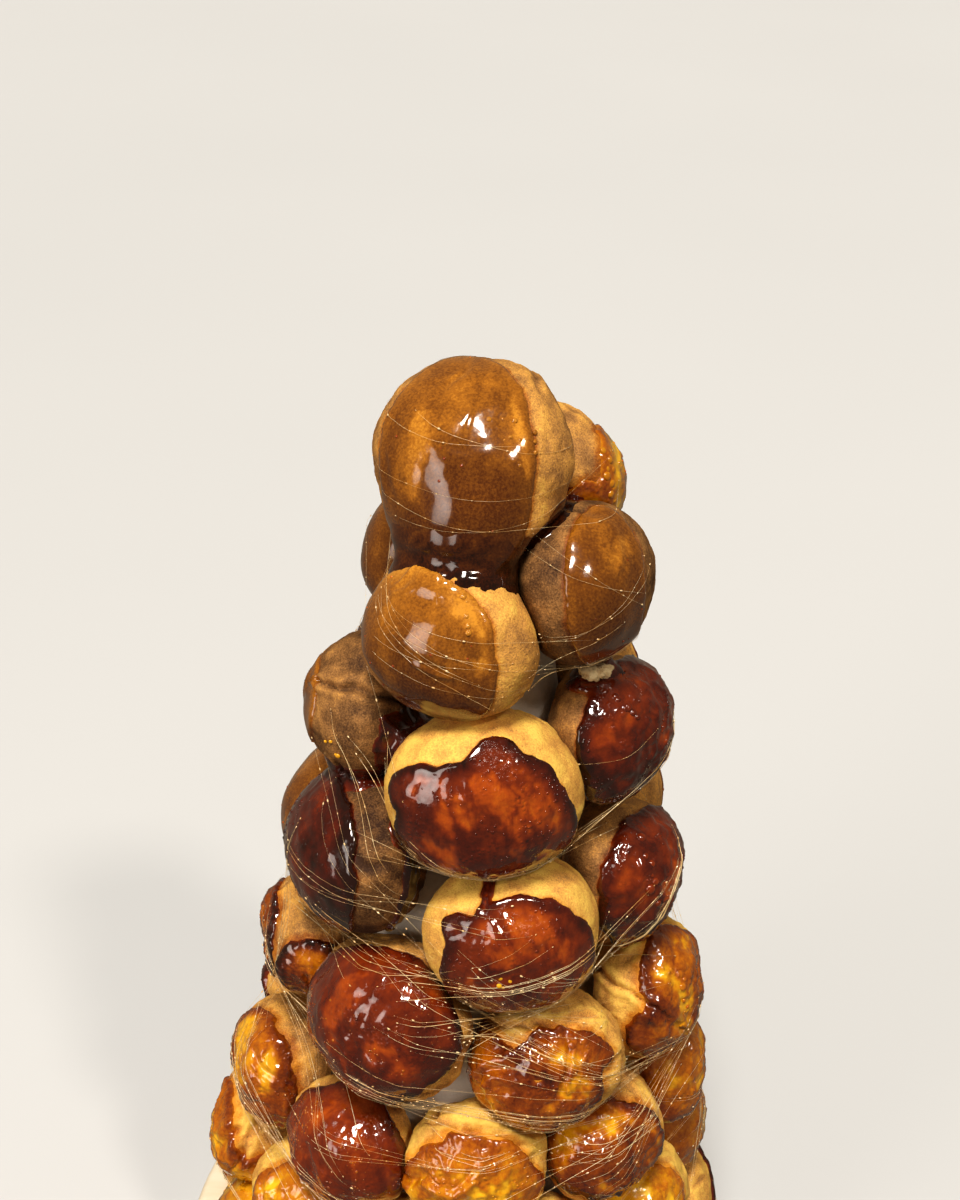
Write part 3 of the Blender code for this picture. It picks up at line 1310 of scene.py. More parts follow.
@dataclass
class CaramelCap:
    """The caramel on a bun, a closed skin whose edge sinks into the crust."""

    crust: Crust
    noise: GradientNoise
    cells: int
    sunk: float = 0.9 * MM  # how far the skin goes on under the crust
    under: float = 0.7 * MM  # how far its inner side lies under the crust
    least: float = 0.12 * MM  # its least thickness
    fold: float = 8 * MM  # size of the folds
    deep: float = 1.2 * MM  # thickness at which it is dark
    darker: float = 0.2  # how much darker it is where it is that thick
    lighter: float = 0.42  # how much lighter it is where it has run thin
    outside: float = 0.02  # what counts as far from a patch
    wrap_from: float = 0.97  # share of the face's half-width past which a patch goes round the side
    skin: Part = field(init=False)

    def _angles(self, x: Array, y: Array) -> tuple[Array, Array]:
        """Turns places on the face into angles from its middle, those past the edge going round the side.

        Args:
            x: N shares of the face's half-width to the right.
            y: N shares up.

        Returns:
            N angles to the right and N angles up.
        """
        share = np.hypot(x, y)
        start = math.asin(self.wrap_from)
        angle = np.where(
            share < self.wrap_from,
            np.arcsin(np.clip(share, 0, self.wrap_from)),
            start + (share - self.wrap_from) / math.cos(start),
        )
        scale = angle / np.maximum(share, 1e-9)
        return x * scale, y * scale

    def _on_face(self, ways: Array) -> tuple[Array, Array]:
        """Turns directions into angles from the middle of the face.

        Args:
            ways: N x 3 directions.

        Returns:
            N angles to the right and N angles up.
        """
        right, up, out = self.crust.bun.face() @ ways.T
        angle = np.arccos(np.clip(out, -1, 1))
        around = np.maximum(np.hypot(right, up), 1e-9)
        return angle * right / around, angle * up / around

    def _oval(self, patch: Patch, u: Array, v: Array) -> Array:
        """Measures how far places on the face lie inside a patch.

        Args:
            patch: The patch.
            u: N angles to the right.
            v: N angles up.

        Returns:
            N depths in metres.
        """
        turn = math.radians(patch.turn)
        cos, sin = math.cos(turn), math.sin(turn)
        ends_x = np.array([-1.0, 1.0, 0.0, 0.0]) * patch.half_width
        ends_y = np.array([0.0, 0.0, -1.0, 1.0]) * patch.half_height
        ends_u, ends_v = self._angles(
            patch.x + ends_x * cos - ends_y * sin, patch.y + ends_x * sin + ends_y * cos
        )
        a = math.hypot(ends_u[1] - ends_u[0], ends_v[1] - ends_v[0]) / 2
        b = math.hypot(ends_u[3] - ends_u[2], ends_v[3] - ends_v[2]) / 2
        du, dv = u - ends_u.mean(), v - ends_v.mean()
        along = math.atan2(ends_v[1] - ends_v[0], ends_u[1] - ends_u[0])
        p = du * math.cos(along) + dv * math.sin(along)
        q = dv * math.cos(along) - du * math.sin(along)
        share = np.maximum(np.hypot(p / a, q / b), 1e-6)
        slope = np.hypot(p / a**2, q / b**2) / share
        depth = (1 - share) / np.maximum(slope, 1e-6) * self.crust.bun.size
        return np.clip(depth, -self.outside, self.outside)

    def _thin(self, ways: Array, places: Array, beyond: Array) -> Array:
        """Finds how far the caramel has run thin.

        Args:
            ways: N x 3 directions.
            places: N x 3 places to read the noise at.
            beyond: How far each lies inside the rounded edge.

        Returns:
            N values from 0 to 1.
        """
        bun, dressing = self.crust.bun, self.crust.dressing
        flow = places * (1.0, 1.0, 0.55)
        thin = ease(self.noise.layers(flow, 13 * MM, 4, 0.66, shift=0.6), -0.04, 0.3)
        thin *= dressing.pour.value.windows * dressing.windows * ease(beyond, 0.8 * MM, 5.0 * MM)
        u, v = self._on_face(ways)
        flow = bun.middle + ways * bun.size * (1.0, 1.0, 0.6)
        wander = self.noise.layers(flow, 4 * MM, 3, 0.7) * 5.0 * MM
        thinnest = np.zeros(len(ways))
        for spot in dressing.spots:
            inside = ease(self._oval(spot, u, v) + wander, -1.5 * MM, 3.0 * MM)
            thinnest = np.maximum(thinnest, inside)
        return np.maximum(thin, 0.7 * thinnest * ease(beyond, 0.0, 2.0 * MM))

    def _thickness(self, places: Array, depth: Array, beyond: Array, thin: Array) -> tuple[Array, Array]:
        """Finds how thick the caramel lies.

        Args:
            places: N x 3 places to read the noise at.
            depth: How far each lies inside the caramel's edge.
            beyond: How far each lies inside the rounded edge.
            thin: How far it has run thin there.

        Returns:
            N heights over the crust, and N shares of the rounded edge from 0 to 1.
        """
        layer = self.crust.dressing.pour.value
        folds = 1 - np.abs(self.noise.layers(places, self.fold, 2, shift=1.3)) * 2.6
        body = layer.body * (1 - 0.5 * thin) + layer.folds * np.maximum(folds, 0) ** 2
        body += layer.folds * 0.5 * self.noise.layers(places, 3.5 * MM, 1, shift=2.2)
        body = np.maximum(body, self.least)
        t = np.clip(depth / layer.edge, 0, 1)
        rise = (1 - (1 - t) ** 2) ** 0.5
        lip = ridge(beyond, 2.4 * MM)
        height = (body + (np.maximum(layer.lip, body) - body) * lip) * rise
        height += layer.uneven * self.noise.layers(places, 2.6 * MM, 2, shift=2.7)
        height -= np.clip(-depth, 0, self.sunk * 1.6)
        return height, lip * rise

    def lie(self, ways: Array) -> tuple[Array, Array]:
        """Finds where the caramel lies.

        Args:
            ways: N x 3 directions.

        Returns:
            How far each lies inside the caramel's edge, and its height on the face from -1 to 1.
        """
        bun, layer = self.crust.bun, self.crust.dressing.pour.value
        right, up = bun.face()[0], ways @ bun.face()[1]
        u, v = self._on_face(ways)
        depth = np.full(len(ways), -self.outside)
        for patch in self.crust.dressing.patches:
            depth = soft_max(depth, self._oval(patch, u, v), 2.0 * MM)
        places = bun.spread_out(ways)
        ragged = self.noise.layers(places, 10 * MM, 4, 0.6)
        depth += layer.ragged * ragged * 1.25
        along = np.outer(ways @ right, right) * bun.size
        streaks = self.noise.layers(places * 0.25 + along, 4 * MM, 1)
        depth += np.maximum(streaks, 0) * 2.2 * MM * ease(-up, 0.0, 0.7)
        return depth, up

    def stain(self, ways: Array) -> Array:
        """How far the crust is stained beside the caramel, from 0 to 1."""
        depth, _ = self.lie(ways)
        return ease(depth, -self.crust.dressing.pour.value.stain, 0.5 * MM)

    def _skin(self, quads: Array, depth: Array) -> tuple[Array, Array]:
        """Cuts the closed skin out of a grid.

        Args:
            quads: The grid's faces.
            depth: How far its points lie inside the caramel's edge.

        Returns:
            The grid's points that the skin uses, and its faces: outer side, inner side and rim.
        """
        kept = quads[(depth[quads] > -self.sunk * 1.4).any(1)]
        used = np.unique(kept)
        number = np.full(len(depth), -1)
        number[used] = np.arange(len(used))
        top = number[kept]
        low = top[:, ::-1] + len(used)
        edges = np.concatenate([top[:, [k, (k + 1) % 4]] for k in range(4)])
        _, index, count = np.unique(np.sort(edges, axis=1), axis=0, return_inverse=True, return_counts=True)
        a, b = edges[count[index.reshape(-1)] == 1].T
        rim = np.stack([b, a, a + len(used), b + len(used)], 1)
        return used, np.concatenate([top, low, rim])

    def build(self, finishes: Finishes) -> Piece:
        """Makes the piece.

        Args:
            finishes: The caramel's finishes by name.

        Returns:
            The piece.
        """
        bun, dressing = self.crust.bun, self.crust.dressing
        layer, grid = dressing.pour.value, BallGrid.of(self.cells)
        ways, places = grid.directions, bun.spread_out(grid.directions)
        depth, up = self.lie(ways)
        beyond = np.maximum(depth - layer.edge, 0)
        thin = self._thin(ways, places, beyond)
        height, rounded = self._thickness(places, depth, beyond, thin)
        reach, _ = self.crust.reach(ways)
        smooth, _ = self.crust.reach(ways, layer.filled)
        inside = ease(depth, 0.0, 1.5 * MM)
        base = reach + (np.maximum(smooth - reach, -0.6 * height) * inside)
        outer = bun.held_in(ways, base + height, -0.12 * MM, 0.8 * MM)
        outer = np.where(depth < 0, np.minimum(outer, reach + height), outer)
        inner = np.minimum(reach, outer) - self.under
        darkness = dressing.tone + 0.08 - self.lighter * thin
        # darker down the face by the dressing's fall: partly caramel pooled low, partly painted shade
        darkness = darkness + self.darker * (height / self.deep - 0.6) - dressing.fall * up
        darkness += layer.rim * rounded
        darkness += layer.outline * np.exp(-np.maximum(depth, 0) / (1.6 * MM))
        used, faces = self._skin(grid.quads, depth)
        bubbles = layer.bubbles * ease(depth[used], 0.5 * MM, 2 * MM)
        bubbles *= ease(self.noise.layers(places[used], 8 * MM, 1, shift=3.1), 0.0, 0.45) * 2
        points = [bun.middle + ways[used] * side[used, None] for side in (outer, inner)]
        values = {
            "darkness": np.concatenate([darkness[used]] * 2),
            "bubbles": np.concatenate([bubbles, np.zeros(len(used))]),
        }
        self.skin = np.concatenate(points), faces, values
        piece = new_piece(f"caramel_{bun.label}", self.skin, finishes[layer.finish])
        return settle(piece, "caramel_glaze")


# Caramel between the buns


@dataclass(frozen=True)
class Drawing:
    """How the caramel between two buns is drawn out."""

    finish: str
    wander: float  # unevenness of its radius
    foot: float  # how widely its foot spreads on the first bun
    sag: float  # how far it thins in the middle, as a share of the gap


@dataclass
class CaramelBridges:
    """Dark caramel glue in the creases between buns, drawn out like a drop between two balls; laid in most
    creases, its near-black tone is partly painted shade there.
    """

    crusts: dict[str, Crust]
    noise: GradientNoise
    seed: int = 8
    around: int = 44
    glued: float = 0.75  # share of the creases that hold some; set high so that the near-black caramel also paints the shade in the creases
    touching: float = 1.02  # how far apart glued buns may be, as a share of their sizes
    common: Range = (3.5, 6.5)  # range of the common radius, in millimetres
    widest: float = 0.93  # share of a bun's size past which none is laid
    open_gap: float = 3.4 * MM  # gap between two crusts in which the fringe stands up in full
    steps: tuple[float, ...] = (0.25, 0.5, 0.75)  # rings across the gap
    between_glazed: Drawing = Drawing("glaze", 0.25, 1.3, 0.06)
    between_others: Drawing = Drawing("dip", 0.5, 1.0, 0.2)
    named: tuple[tuple[str, str, float], ...] = (  # two buns, and the radius between them
        ("1_1", "2_2", 14.0 * MM),
        ("1_1", "2_3", 9.0 * MM),
        ("1_1", "2_1", 10.0 * MM),
        ("1_1", "2_4", 8.0 * MM),
        ("2_3", "2_4", 9.0 * MM),
        ("2_3", "3_3", 5.5 * MM),
        ("3_1", "3_2", 8.5 * MM),
        ("3_1", "4_2", 8.0 * MM),
        ("3_2", "4_2", 6.0 * MM),
    )
    fringe: tuple[tuple[float, float], ...] = (  # spread past the radius, and height over the crust
        (2.8 * MM, -0.8 * MM),
        (2.1 * MM, 0.0 * MM),
        (1.4 * MM, 0.45 * MM),
        (0.6 * MM, 0.9 * MM),
        (-0.1 * MM, 1.5 * MM),
    )

    def _on(self, crust: Crust, axis: Array, out: Array, spread: Array, height: Array | float) -> Array:
        """Finds places over a crust, at some distance from the line between two buns.

        Args:
            crust: The crust.
            axis: The way to the other bun.
            out: N x 3 directions across that way.
            spread: N distances from the line.
            height: Height over the crust.

        Returns:
            N x 3 places.
        """
        share = np.clip(spread / crust.bun.size, 0, self.widest)
        ways = np.sqrt(1 - share**2)[:, None] * axis + share[:, None] * out
        reach, _ = crust.reach(ways)
        return crust.bun.middle + ways * (reach + height)[:, None]

    def _tube(self, rings: int) -> Array:
        """Joins rings of points into a tube with closed ends.

        Args:
            rings: How many there are. A point for each end comes after them.

        Returns:
            M x 3 point numbers.
        """
        n, last = self.around, (rings - 1) * self.around
        here = np.arange(n)
        following = (here + 1) % n
        faces = []
        for row in range(rings - 1):
            a, b = here + row * n, following + row * n
            faces += [np.stack([a, b, b + n], 1), np.stack([a, b + n, a + n], 1)]
        tip = np.full(n, rings * n)
        faces.append(np.stack([following, here, tip], 1))
        faces.append(np.stack([last + here, last + following, tip + 1], 1))
        return np.concatenate(faces)

    def _bridge(self, one: Crust, other: Crust, radius: float) -> Part:
        """Lays one bridge.

        Args:
            one: One bun's crust.
            other: The other's.
            radius: Its radius where it is narrowest.

        Returns:
            The bridge, with its darkness.
        """
        axis = unit(other.bun.middle - one.bun.middle)
        side = unit(np.cross(axis, one.bun.crown + 0.3 * other.bun.crown))
        turn = np.arange(self.around) / self.around * 2 * math.pi
        out = np.outer(np.cos(turn), side) + np.outer(np.sin(turn), np.cross(axis, side))
        base = (one.bun.middle + other.bun.middle) / 2
        drawing = self.drawing(one, other)
        wander = self.noise.layers(base * 2 + out * radius, 8 * MM, 3)
        spread = radius * (1 + drawing.wander * wander)
        low = self._on(one, axis, out, spread, 0.0)
        high = self._on(other, -axis, out, spread, 0.0)
        gap = np.linalg.norm(high - low, axis=1)
        room = np.clip(gap / self.open_gap, 0.1, 1.0)
        near, far = [], []
        for past, height in self.fringe:
            raised = room if height > 0 else 1.0
            wide = drawing.foot if height > 0 else 1.0
            near.append(self._on(one, axis, out, spread + past * drawing.foot, height * (raised * wide)))
            far.append(self._on(other, -axis, out, spread + past, height * raised))
        across = []
        for share in self.steps:
            sag = 4 * share * (1 - share) * drawing.sag * gap[:, None]
            across.append(near[-1] * (1 - share) + far[-1] * share - out * sag)
        rings = [*near, *across, *far[::-1]]
        ends = [one.bun.middle + axis * one.bun.size * 0.5, other.bun.middle - axis * other.bun.size * 0.5]
        points = np.concatenate([*rings, np.stack(ends)])
        # near-black: the glue's own deep colour, and partly painted shade in the crease
        dark = 0.88 + 0.3 * self.noise.layers(points * 2, 6 * MM, 2)
        n, inside = self.around, len(rings) * self.around
        if drawing is self.between_glazed:
            dark[:inside] -= np.repeat(np.linspace(0.24, -0.1, len(rings)), n)
        else:
            dark[: 2 * n] -= 0.2
            dark[inside - 2 * n : inside] -= 0.2
        return points, self._tube(len(rings)), {"darkness": dark}

    def drawing(self, one: Crust, other: Crust) -> Drawing:
        """How the caramel between two buns is drawn out, by whether both wear the brown glaze."""
        glazed = one.dressing.pour is Pour.GLAZE and other.dressing.pour is Pour.GLAZE
        return self.between_glazed if glazed else self.between_others

    def build(self, finishes: Finishes) -> None:
        """Makes one piece for each tier and finish.

        Args:
            finishes: The caramel's finishes by name.
        """
        dice = np.random.default_rng(self.seed)
        large = {(one, other): radius for one, other, radius in self.named}
        made: dict[tuple[int, str], list[Part]] = {}
        for label, crust in self.crusts.items():
            for other_label, other in self.crusts.items():
                share, radius = dice.random(), dice.uniform(*self.common) * MM
                if other_label <= label:
                    continue
                named = large.get((label, other_label))
                apart = float(np.linalg.norm(other.bun.middle - crust.bun.middle))
                touching = apart < self.touching * (crust.bun.size + other.bun.size)
                if named or (touching and share < self.glued):
                    key = (crust.bun.tier, self.drawing(crust, other).finish)
                    made.setdefault(key, []).append(self._bridge(crust, other, named or radius))
        for (tier, finish), bridges in sorted(made.items()):
            piece = new_piece(f"{finish}_bridges_{tier}", joined(bridges), finishes[finish])
            settle(piece, "caramel_glaze")


@dataclass(frozen=True)
class DropRow:
    """Drops of caramel strung along a line on a bun's face, in shares of the face's half-width."""

    bun: str
    start: tuple[float, float]
    end: tuple[float, float]
    count: int
    size: float  # radius, in millimetres
    finish: str
    darkness: float


@dataclass
class CaramelDrops:
    """Domed drops where caramel has gathered."""

    caps: dict[str, CaramelCap]
    seed: int = 31
    flatness: float = 0.55
    cells: int = 6
    scatter: float = 0.035  # how far they stray from their line
    sizes: Range = (0.55, 1.25)  # of their row's
    uneven: float = 0.2
    rows: tuple[DropRow, ...] = (
        DropRow("1_1", (0.18, 0.40), (0.52, 0.42), 4, 0.7, "glaze", 0.2),
        DropRow("1_1", (0.32, 0.18), (0.60, 0.22), 4, 0.6, "glaze", 0.2),
        DropRow("1_1", (0.66, 0.14), (0.55, -0.10), 3, 0.7, "glaze", 0.15),
        DropRow("2_2", (0.12, 0.58), (0.26, 0.1), 5, 0.7, "glaze", 0.1),
        DropRow("2_4", (0.66, 0.3), (0.85, -0.5), 12, 1.1, "syrup", 0.35),
        DropRow("3_1", (-0.5, -0.55), (-0.3, -0.66), 4, 0.8, "syrup", 0.12),
        DropRow("4_3", (-0.26, -0.68), (-0.02, -0.66), 4, 0.9, "syrup", 0.05),
        DropRow("5_1", (0.15, -0.2), (0.3, -0.5), 4, 1.0, "syrup", 0.2),
        DropRow("5_3", (0.0, 0.3), (0.55, 0.26), 7, 1.1, "syrup", 0.6),
        DropRow("5_4", (0.5, 0.3), (0.7, -0.3), 6, 1.1, "syrup", 0.45),
        DropRow("4_4", (0.3, 0.4), (0.6, -0.5), 9, 1.1, "dip", 0.6),
        DropRow("3_3", (-0.1, 0.5), (0.4, 0.2), 8, 1.1, "dip", 0.8),
    )

    def _row(self, row: DropRow, dice: Dice) -> Part:
        """Lays a row's drops.

        Args:
            row: The row.
            dice: Source of its unevenness.

        Returns:
            All of them.
        """
        cap, grid = self.caps[row.bun], BallGrid.of(self.cells)
        bun, start, end = cap.crust.bun, np.array(row.start), np.array(row.end)
        dark = {"darkness": np.full(len(grid.directions), row.darkness)}
        drops = []
        for step in np.linspace(0, 1, row.count):
            x, y = start * (1 - step) + end * step + dice.normal(0, self.scatter, 2)
            way = np.array([x, y, math.sqrt(max(1 - x * x - y * y, 0.01))]) @ bun.face()
            reach = float(cap.crust.reach(unit(way)[None])[0][0]) + cap.crust.dressing.pour.value.body
            wide = row.size * MM * dice.uniform(*self.sizes)
            along = np.outer(grid.directions @ way, way)
            shape = grid.directions * (1 + self.uneven * dice.uniform(-1, 1))
            shape = shape + along * (self.flatness - 1)
            drops.append((bun.middle + way * reach + shape * wide, grid.quads, dark))
        return joined(drops)

    def build(self, finishes: Finishes) -> None:
        """Makes one piece for each row.

        Args:
            finishes: The caramel's finishes by name.
        """
        dice = np.random.default_rng(self.seed)
        for number, row in enumerate(self.rows, 1):
            piece = new_piece(f"drops_{number}_{row.bun}", self._row(row, dice), finishes[row.finish])
            settle(piece, "caramel_glaze")


@dataclass(frozen=True)
class Crumb:
    """A crumb of choux stuck on the caramel."""

    turn: float = 58.0  # degrees from the serving side, to the right
    height: float = 245.5 * MM  # above the board
    reach: float = 34 * MM  # from the tower's axis
    size: float = 3.4 * MM
    shape: tuple[float, float, float] = (1.3, 0.9, 0.75)  # of its size along X, Y and Z
    uneven: float = 0.55
    cells: int = 20
    stops: Stops = ((0.0, "#f1dcae"), (0.5, "#c9ab7c"), (1.0, "#7d5c3c"))

    def build(self, foot: float, noise: GradientNoise) -> None:
        """Makes the crumb.

        Args:
            foot: Height of the board's top.
            noise: Its unevenness.
        """
        turn = math.radians(self.turn)
        middle = np.array([math.sin(turn) * self.reach, -math.cos(turn) * self.reach, foot + self.height])
        grid = BallGrid.of(self.cells)
        shape = grid.directions * np.array(self.shape) * self.size
        shape = shape * (1 + self.uneven * noise.layers(middle + shape, 2.6 * MM, 3, 0.6))[:, None]
        toast = 0.1 + 0.5 * noise.layers(middle + shape, 2 * MM, 1)
        values = {"toast": toast, "stain": np.zeros(len(shape))}
        material = CrustFinish("crumb", self.stops).material()
        settle(new_piece("crumb", (middle + shape, grid.quads, values), material), "choux_crust_3")


@dataclass
class CaramelBubbles:
    """Small round bubbles set in the caramel, by Geometry Nodes."""

    caps: list[CaramelCap]
    tier: int
    size: float = 0.42 * MM
    sizes: Range = (0.45, 1.15)  # of that size
    flatness: float = 0.55
    seed: int = 40

    def build(self, material: Material) -> None:
        """Makes one piece from the tier's caps.

        Args:
            material: The caramel's finish.
        """
        inputs = {"Bubble size": self.size, "Flatness": self.flatness, "Seed": self.seed + self.tier}
        tree = Growth("bubbles", inputs)
        per_square_metre = tree.held("bubbles") * 10000.0
        sockets = {"Mesh": tree.source, "Density": per_square_metre, "Seed": tree.size("Seed")}
        spread = tree.node("GeometryNodeDistributePointsOnFaces", None, sockets)
        ball = tree.node("GeometryNodeMeshUVSphere", None, {"Segments": 7, "Rings": 4, "Radius": 1.0})
        wide = tree.size("Bubble size") * tree.chance(*self.sizes, 3)
        placed = tree.set_on(spread, ball, wide, wide * tree.size("Flatness"))
        source = new_mesh("caps", joined([cap.skin for cap in self.caps]))
        settle(tree.grow(f"caramel_bubbles_{self.tier}", placed, source, material), "caramel_glaze")


# Spun sugar


class Relief:
    """How far the tower reaches out from its axis, by turn and height."""

    turns: int = 300
    rise: float = 1.2 * MM
    spare: int = 8  # rows over the top
    passes: int = 3  # of filling in the places where nothing was measured

    def __init__(self, points: Array) -> None:
        """Measures the tower.

        Args:
            points: N x 3 places on its outside.
        """
        reach = np.hypot(points[:, 0], points[:, 1])
        turn = np.arctan2(points[:, 0], -points[:, 1])
        rows = int(points[:, 2].max() / self.rise) + self.spare
        column = (turn / (2 * math.pi) * self.turns).astype(int) % self.turns
        row = np.clip((points[:, 2] / self.rise).astype(int), 0, rows - 1)
        self.reach = np.zeros((rows, self.turns))
        np.maximum.at(self.reach, (row, column), reach)
        for _ in range(self.passes):
            near = [np.roll(self.reach, step, axis=axis) for axis in (1, 0) for step in (-1, 1)]
            self.reach = np.where(self.reach > 0, self.reach, np.max(near, axis=0))

    def at(self, turn: Array, height: Array) -> Array:
        """Reads between the measured places.

        Args:
            turn: Turns from the serving side, to the right.
            height: Heights over the floor.

        Returns:
            Distances from the axis to the outside.
        """
        column = (turn / (2 * math.pi) * self.turns - 0.5) % self.turns
        row = np.clip(height / self.rise - 0.5, 0, len(self.reach) - 1.001)
        c, r = column.astype(int), row.astype(int)
        x, y = column - c, row - r
        c, d = c % self.turns, (c + 1) % self.turns
        low = self.reach[r, c] * (1 - x) + self.reach[r, d] * x
        high = self.reach[r + 1, c] * (1 - x) + self.reach[r + 1, d] * x
        return low * (1 - y) + high * y


@dataclass(frozen=True)
class Bundle:
    """Threads pulled side by side from one place on the tower to another."""

    from_turn: float  # degrees from the serving side, to the right
    from_height: float  # millimetres above the board
    to_turn: float
    to_height: float
    count: int
    spread: float  # millimetres
    weight: float = 1.0  # how much thicker than common threads


@dataclass(frozen=True)
class Loose:
    """Ranges for the bundles whose places are drawn at random, in a bundle's own units."""

    count: int
    turn: Range
    height: Range
    along: Range
    upward: Range
    threads: tuple[int, int]
    lowest: float
    spread: tuple[float, ...]  # one, or a range
    weight: float = 1.0


@dataclass
class SpunSugar:
    """Threads of sugar pulled round the tower, tight over the buns."""

    relief: Relief
    foot: float  # height of the board's top
    seed: int = 14
    stations: int = 44
    thin: float = 0.028 * MM  # radius
    thick: float = 0.085 * MM
    clear: float = 0.12 * MM
    above_board: float = 4 * MM
    pulls: int = 260
    bead: float = 0.17 * MM
    bead_gap: float = 9 * MM
    highest: float = 312.0  # millimetres above the board
    behind: Loose = Loose(34, (70, 230), (20, 300), (25, 90), (-45, 45), (3, 8), 12.0, (4, 14))
    before: Loose = Loose(20, (-95, 15), (25, 215), (45, 110), (-50, 45), (2, 5), 15.0, (8,), 0.8)
    bundles: tuple[Bundle, ...] = (
        Bundle(-90, 316, 62, 312, 2, 4),
        Bundle(-85, 300, 95, 292, 3, 8),
        Bundle(-120, 278, 30, 262, 5, 12),
        Bundle(-55, 272, 70, 240, 3, 10),
        Bundle(18, 286, 62, 270, 2, 6),
        Bundle(20, 260, 66, 284, 3, 8),
        Bundle(18, 250, 62, 258, 3, 5),
        Bundle(-125, 300, -40, 235, 6, 8),
        Bundle(-65, 232, -28, 190, 2, 3, 1.8),
        Bundle(-50, 222, -5, 200, 5, 7),
        Bundle(-35, 200, 50, 200, 7, 4),
        Bundle(14, 196, 105, 230, 4, 5, 1.6),
        Bundle(40, 226, 75, 232, 1, 2),
        Bundle(10, 172, 68, 150, 4, 4),
        Bundle(48, 156, 76, 190, 3, 1.4, 3.2),
        Bundle(-75, 156, -5, 168, 6, 5),
        Bundle(-62, 205, -70, 120, 5, 4),
        Bundle(-80, 140, -30, 100, 8, 12),
        Bundle(-15, 163, 45, 178, 7, 5),
        Bundle(-12, 155, 62, 142, 6, 5),
        Bundle(0, 148, 72, 188, 5, 6),
        Bundle(-12, 153, 26, 141, 2, 1.5, 2.0),
        Bundle(-30, 134, 80, 108, 10, 7),
        Bundle(20, 100, 82, 104, 7, 12),
        Bundle(30, 88, 86, 132, 6, 10),
        Bundle(-95, 112, -20, 62, 12, 16),
        Bundle(-12, 110, 14, 109, 3, 2, 1.6),
        Bundle(-70, 92, 40, 62, 8, 14),
        Bundle(0, 60, 80, 78, 7, 14),
        Bundle(-80, 50, 60, 34, 6, 10),
    )

    def _all_bundles(self, dice: Dice) -> list[Bundle]:
        """Adds the loose bundles to the placed ones.

        Args:
            dice: Source of the loose ones' places.

        Returns:
            All of them.
        """
        bundles = list(self.bundles)
        for loose in [self.behind] * self.behind.count + [self.before] * self.before.count:
            turn, height = dice.uniform(*loose.turn), dice.uniform(*loose.height)
            far, high = turn + dice.uniform(*loose.along), height + dice.uniform(*loose.upward)
            high = float(np.clip(high, loose.lowest, self.highest))
            count = int(dice.integers(*loose.threads))
            spread = dice.uniform(*loose.spread) if len(loose.spread) > 1 else loose.spread[0]
            bundles.append(Bundle(turn, height, far, high, count, spread, loose.weight))
        return bundles

    def _strung(self, dice: Dice) -> tuple[Array, Array, Array]:
        """Strings the threads between their ends.

        Args:
            dice: Source of their unevenness.

        Returns:
            Threads x stations of turns and of heights, and how much thicker each thread is.
        """
        share = np.linspace(0, 1, self.stations)
        turns, heights, weights = [], [], []
        for bundle in self._all_bundles(dice):
            for _ in range(bundle.count):
                start = dice.normal(0, bundle.spread * 0.5)
                end = start * dice.uniform(-0.9, 0.9) + dice.normal(0, bundle.spread * 0.4)
                reach = dice.uniform(-0.12, 0.2) + share * dice.uniform(0.65, 1.05)
                turn = bundle.from_turn + (bundle.to_turn - bundle.from_turn) * reach
                height = bundle.from_height + (bundle.to_height - bundle.from_height) * reach
                height += start + (end - start) * share + dice.normal(0, 1.2) * np.sin(share * math.pi)
                turns.append(np.radians(turn))
                heights.append(height * MM + self.foot)
                weights.append(bundle.weight)
        height = np.clip(np.array(heights), self.foot + self.above_board, None)
        return np.array(turns), height, np.array(weights)

    def lay(self) -> tuple[Array, Array]:
        """Lays the threads and pulls them tight.

        Returns:
            Threads x stations x 3 places, and a radius for each station.
        """
        dice = np.random.default_rng(self.seed)
        turn, height, weights = self._strung(dice)
        reach = self.relief.at(turn, height) + self.clear
        points = np.stack([np.sin(turn) * reach, -np.cos(turn) * reach, height], -1)
        pull = dice.uniform(0.4, 1.0, (len(points), 1, 1))
        for _ in range(self.pulls):
            middle = (points[:, :-2] + points[:, 2:]) / 2
            points[:, 1:-1] += (middle - points[:, 1:-1]) * pull
            turn = np.arctan2(points[..., 0], -points[..., 1])
            reach = np.hypot(points[..., 0], points[..., 1])
            least = self.relief.at(turn, points[..., 2]) + self.clear
            push = np.maximum(least / np.maximum(reach, 1e-6), 1.0)
            points[..., :2] *= push[..., None]
        radius = dice.uniform(0, 1, (len(points), 1)) ** 3 * (self.thick - self.thin) + self.thin
        radius = radius * weights[:, None]
        radius = radius * (1 + 0.5 * dice.uniform(-1, 1, (len(points), self.stations)) ** 3)
        share = np.linspace(0, 1, self.stations)
        ends = np.minimum(share, 1 - share) * self.stations / 4
        return points, radius * np.clip(ends, 0.05, 1)

    @staticmethod
    def _source(points: Array, radius: Array) -> Mesh:
        """Makes a mesh of bare edges from threads.

        Args:
            points: Threads x stations x 3 places.
            radius: Their radii, which the mesh holds.

        Returns:
            The mesh.
        """
        threads, stations, _ = points.shape
        mesh = bpy.data.meshes.new("threads")
        index = np.arange(threads * stations).reshape(threads, stations)
        edges = np.stack([index[:, :-1].ravel(), index[:, 1:].ravel()], 1)
        mesh.vertices.add(threads * stations)
        mesh.vertices.foreach_set("co", points.astype(np.float32).ravel())
        mesh.edges.add(len(edges))
        mesh.edges.foreach_set("vertices", edges.astype(np.int32).ravel())
        hold(mesh, {"radius_held": radius})
        return mesh

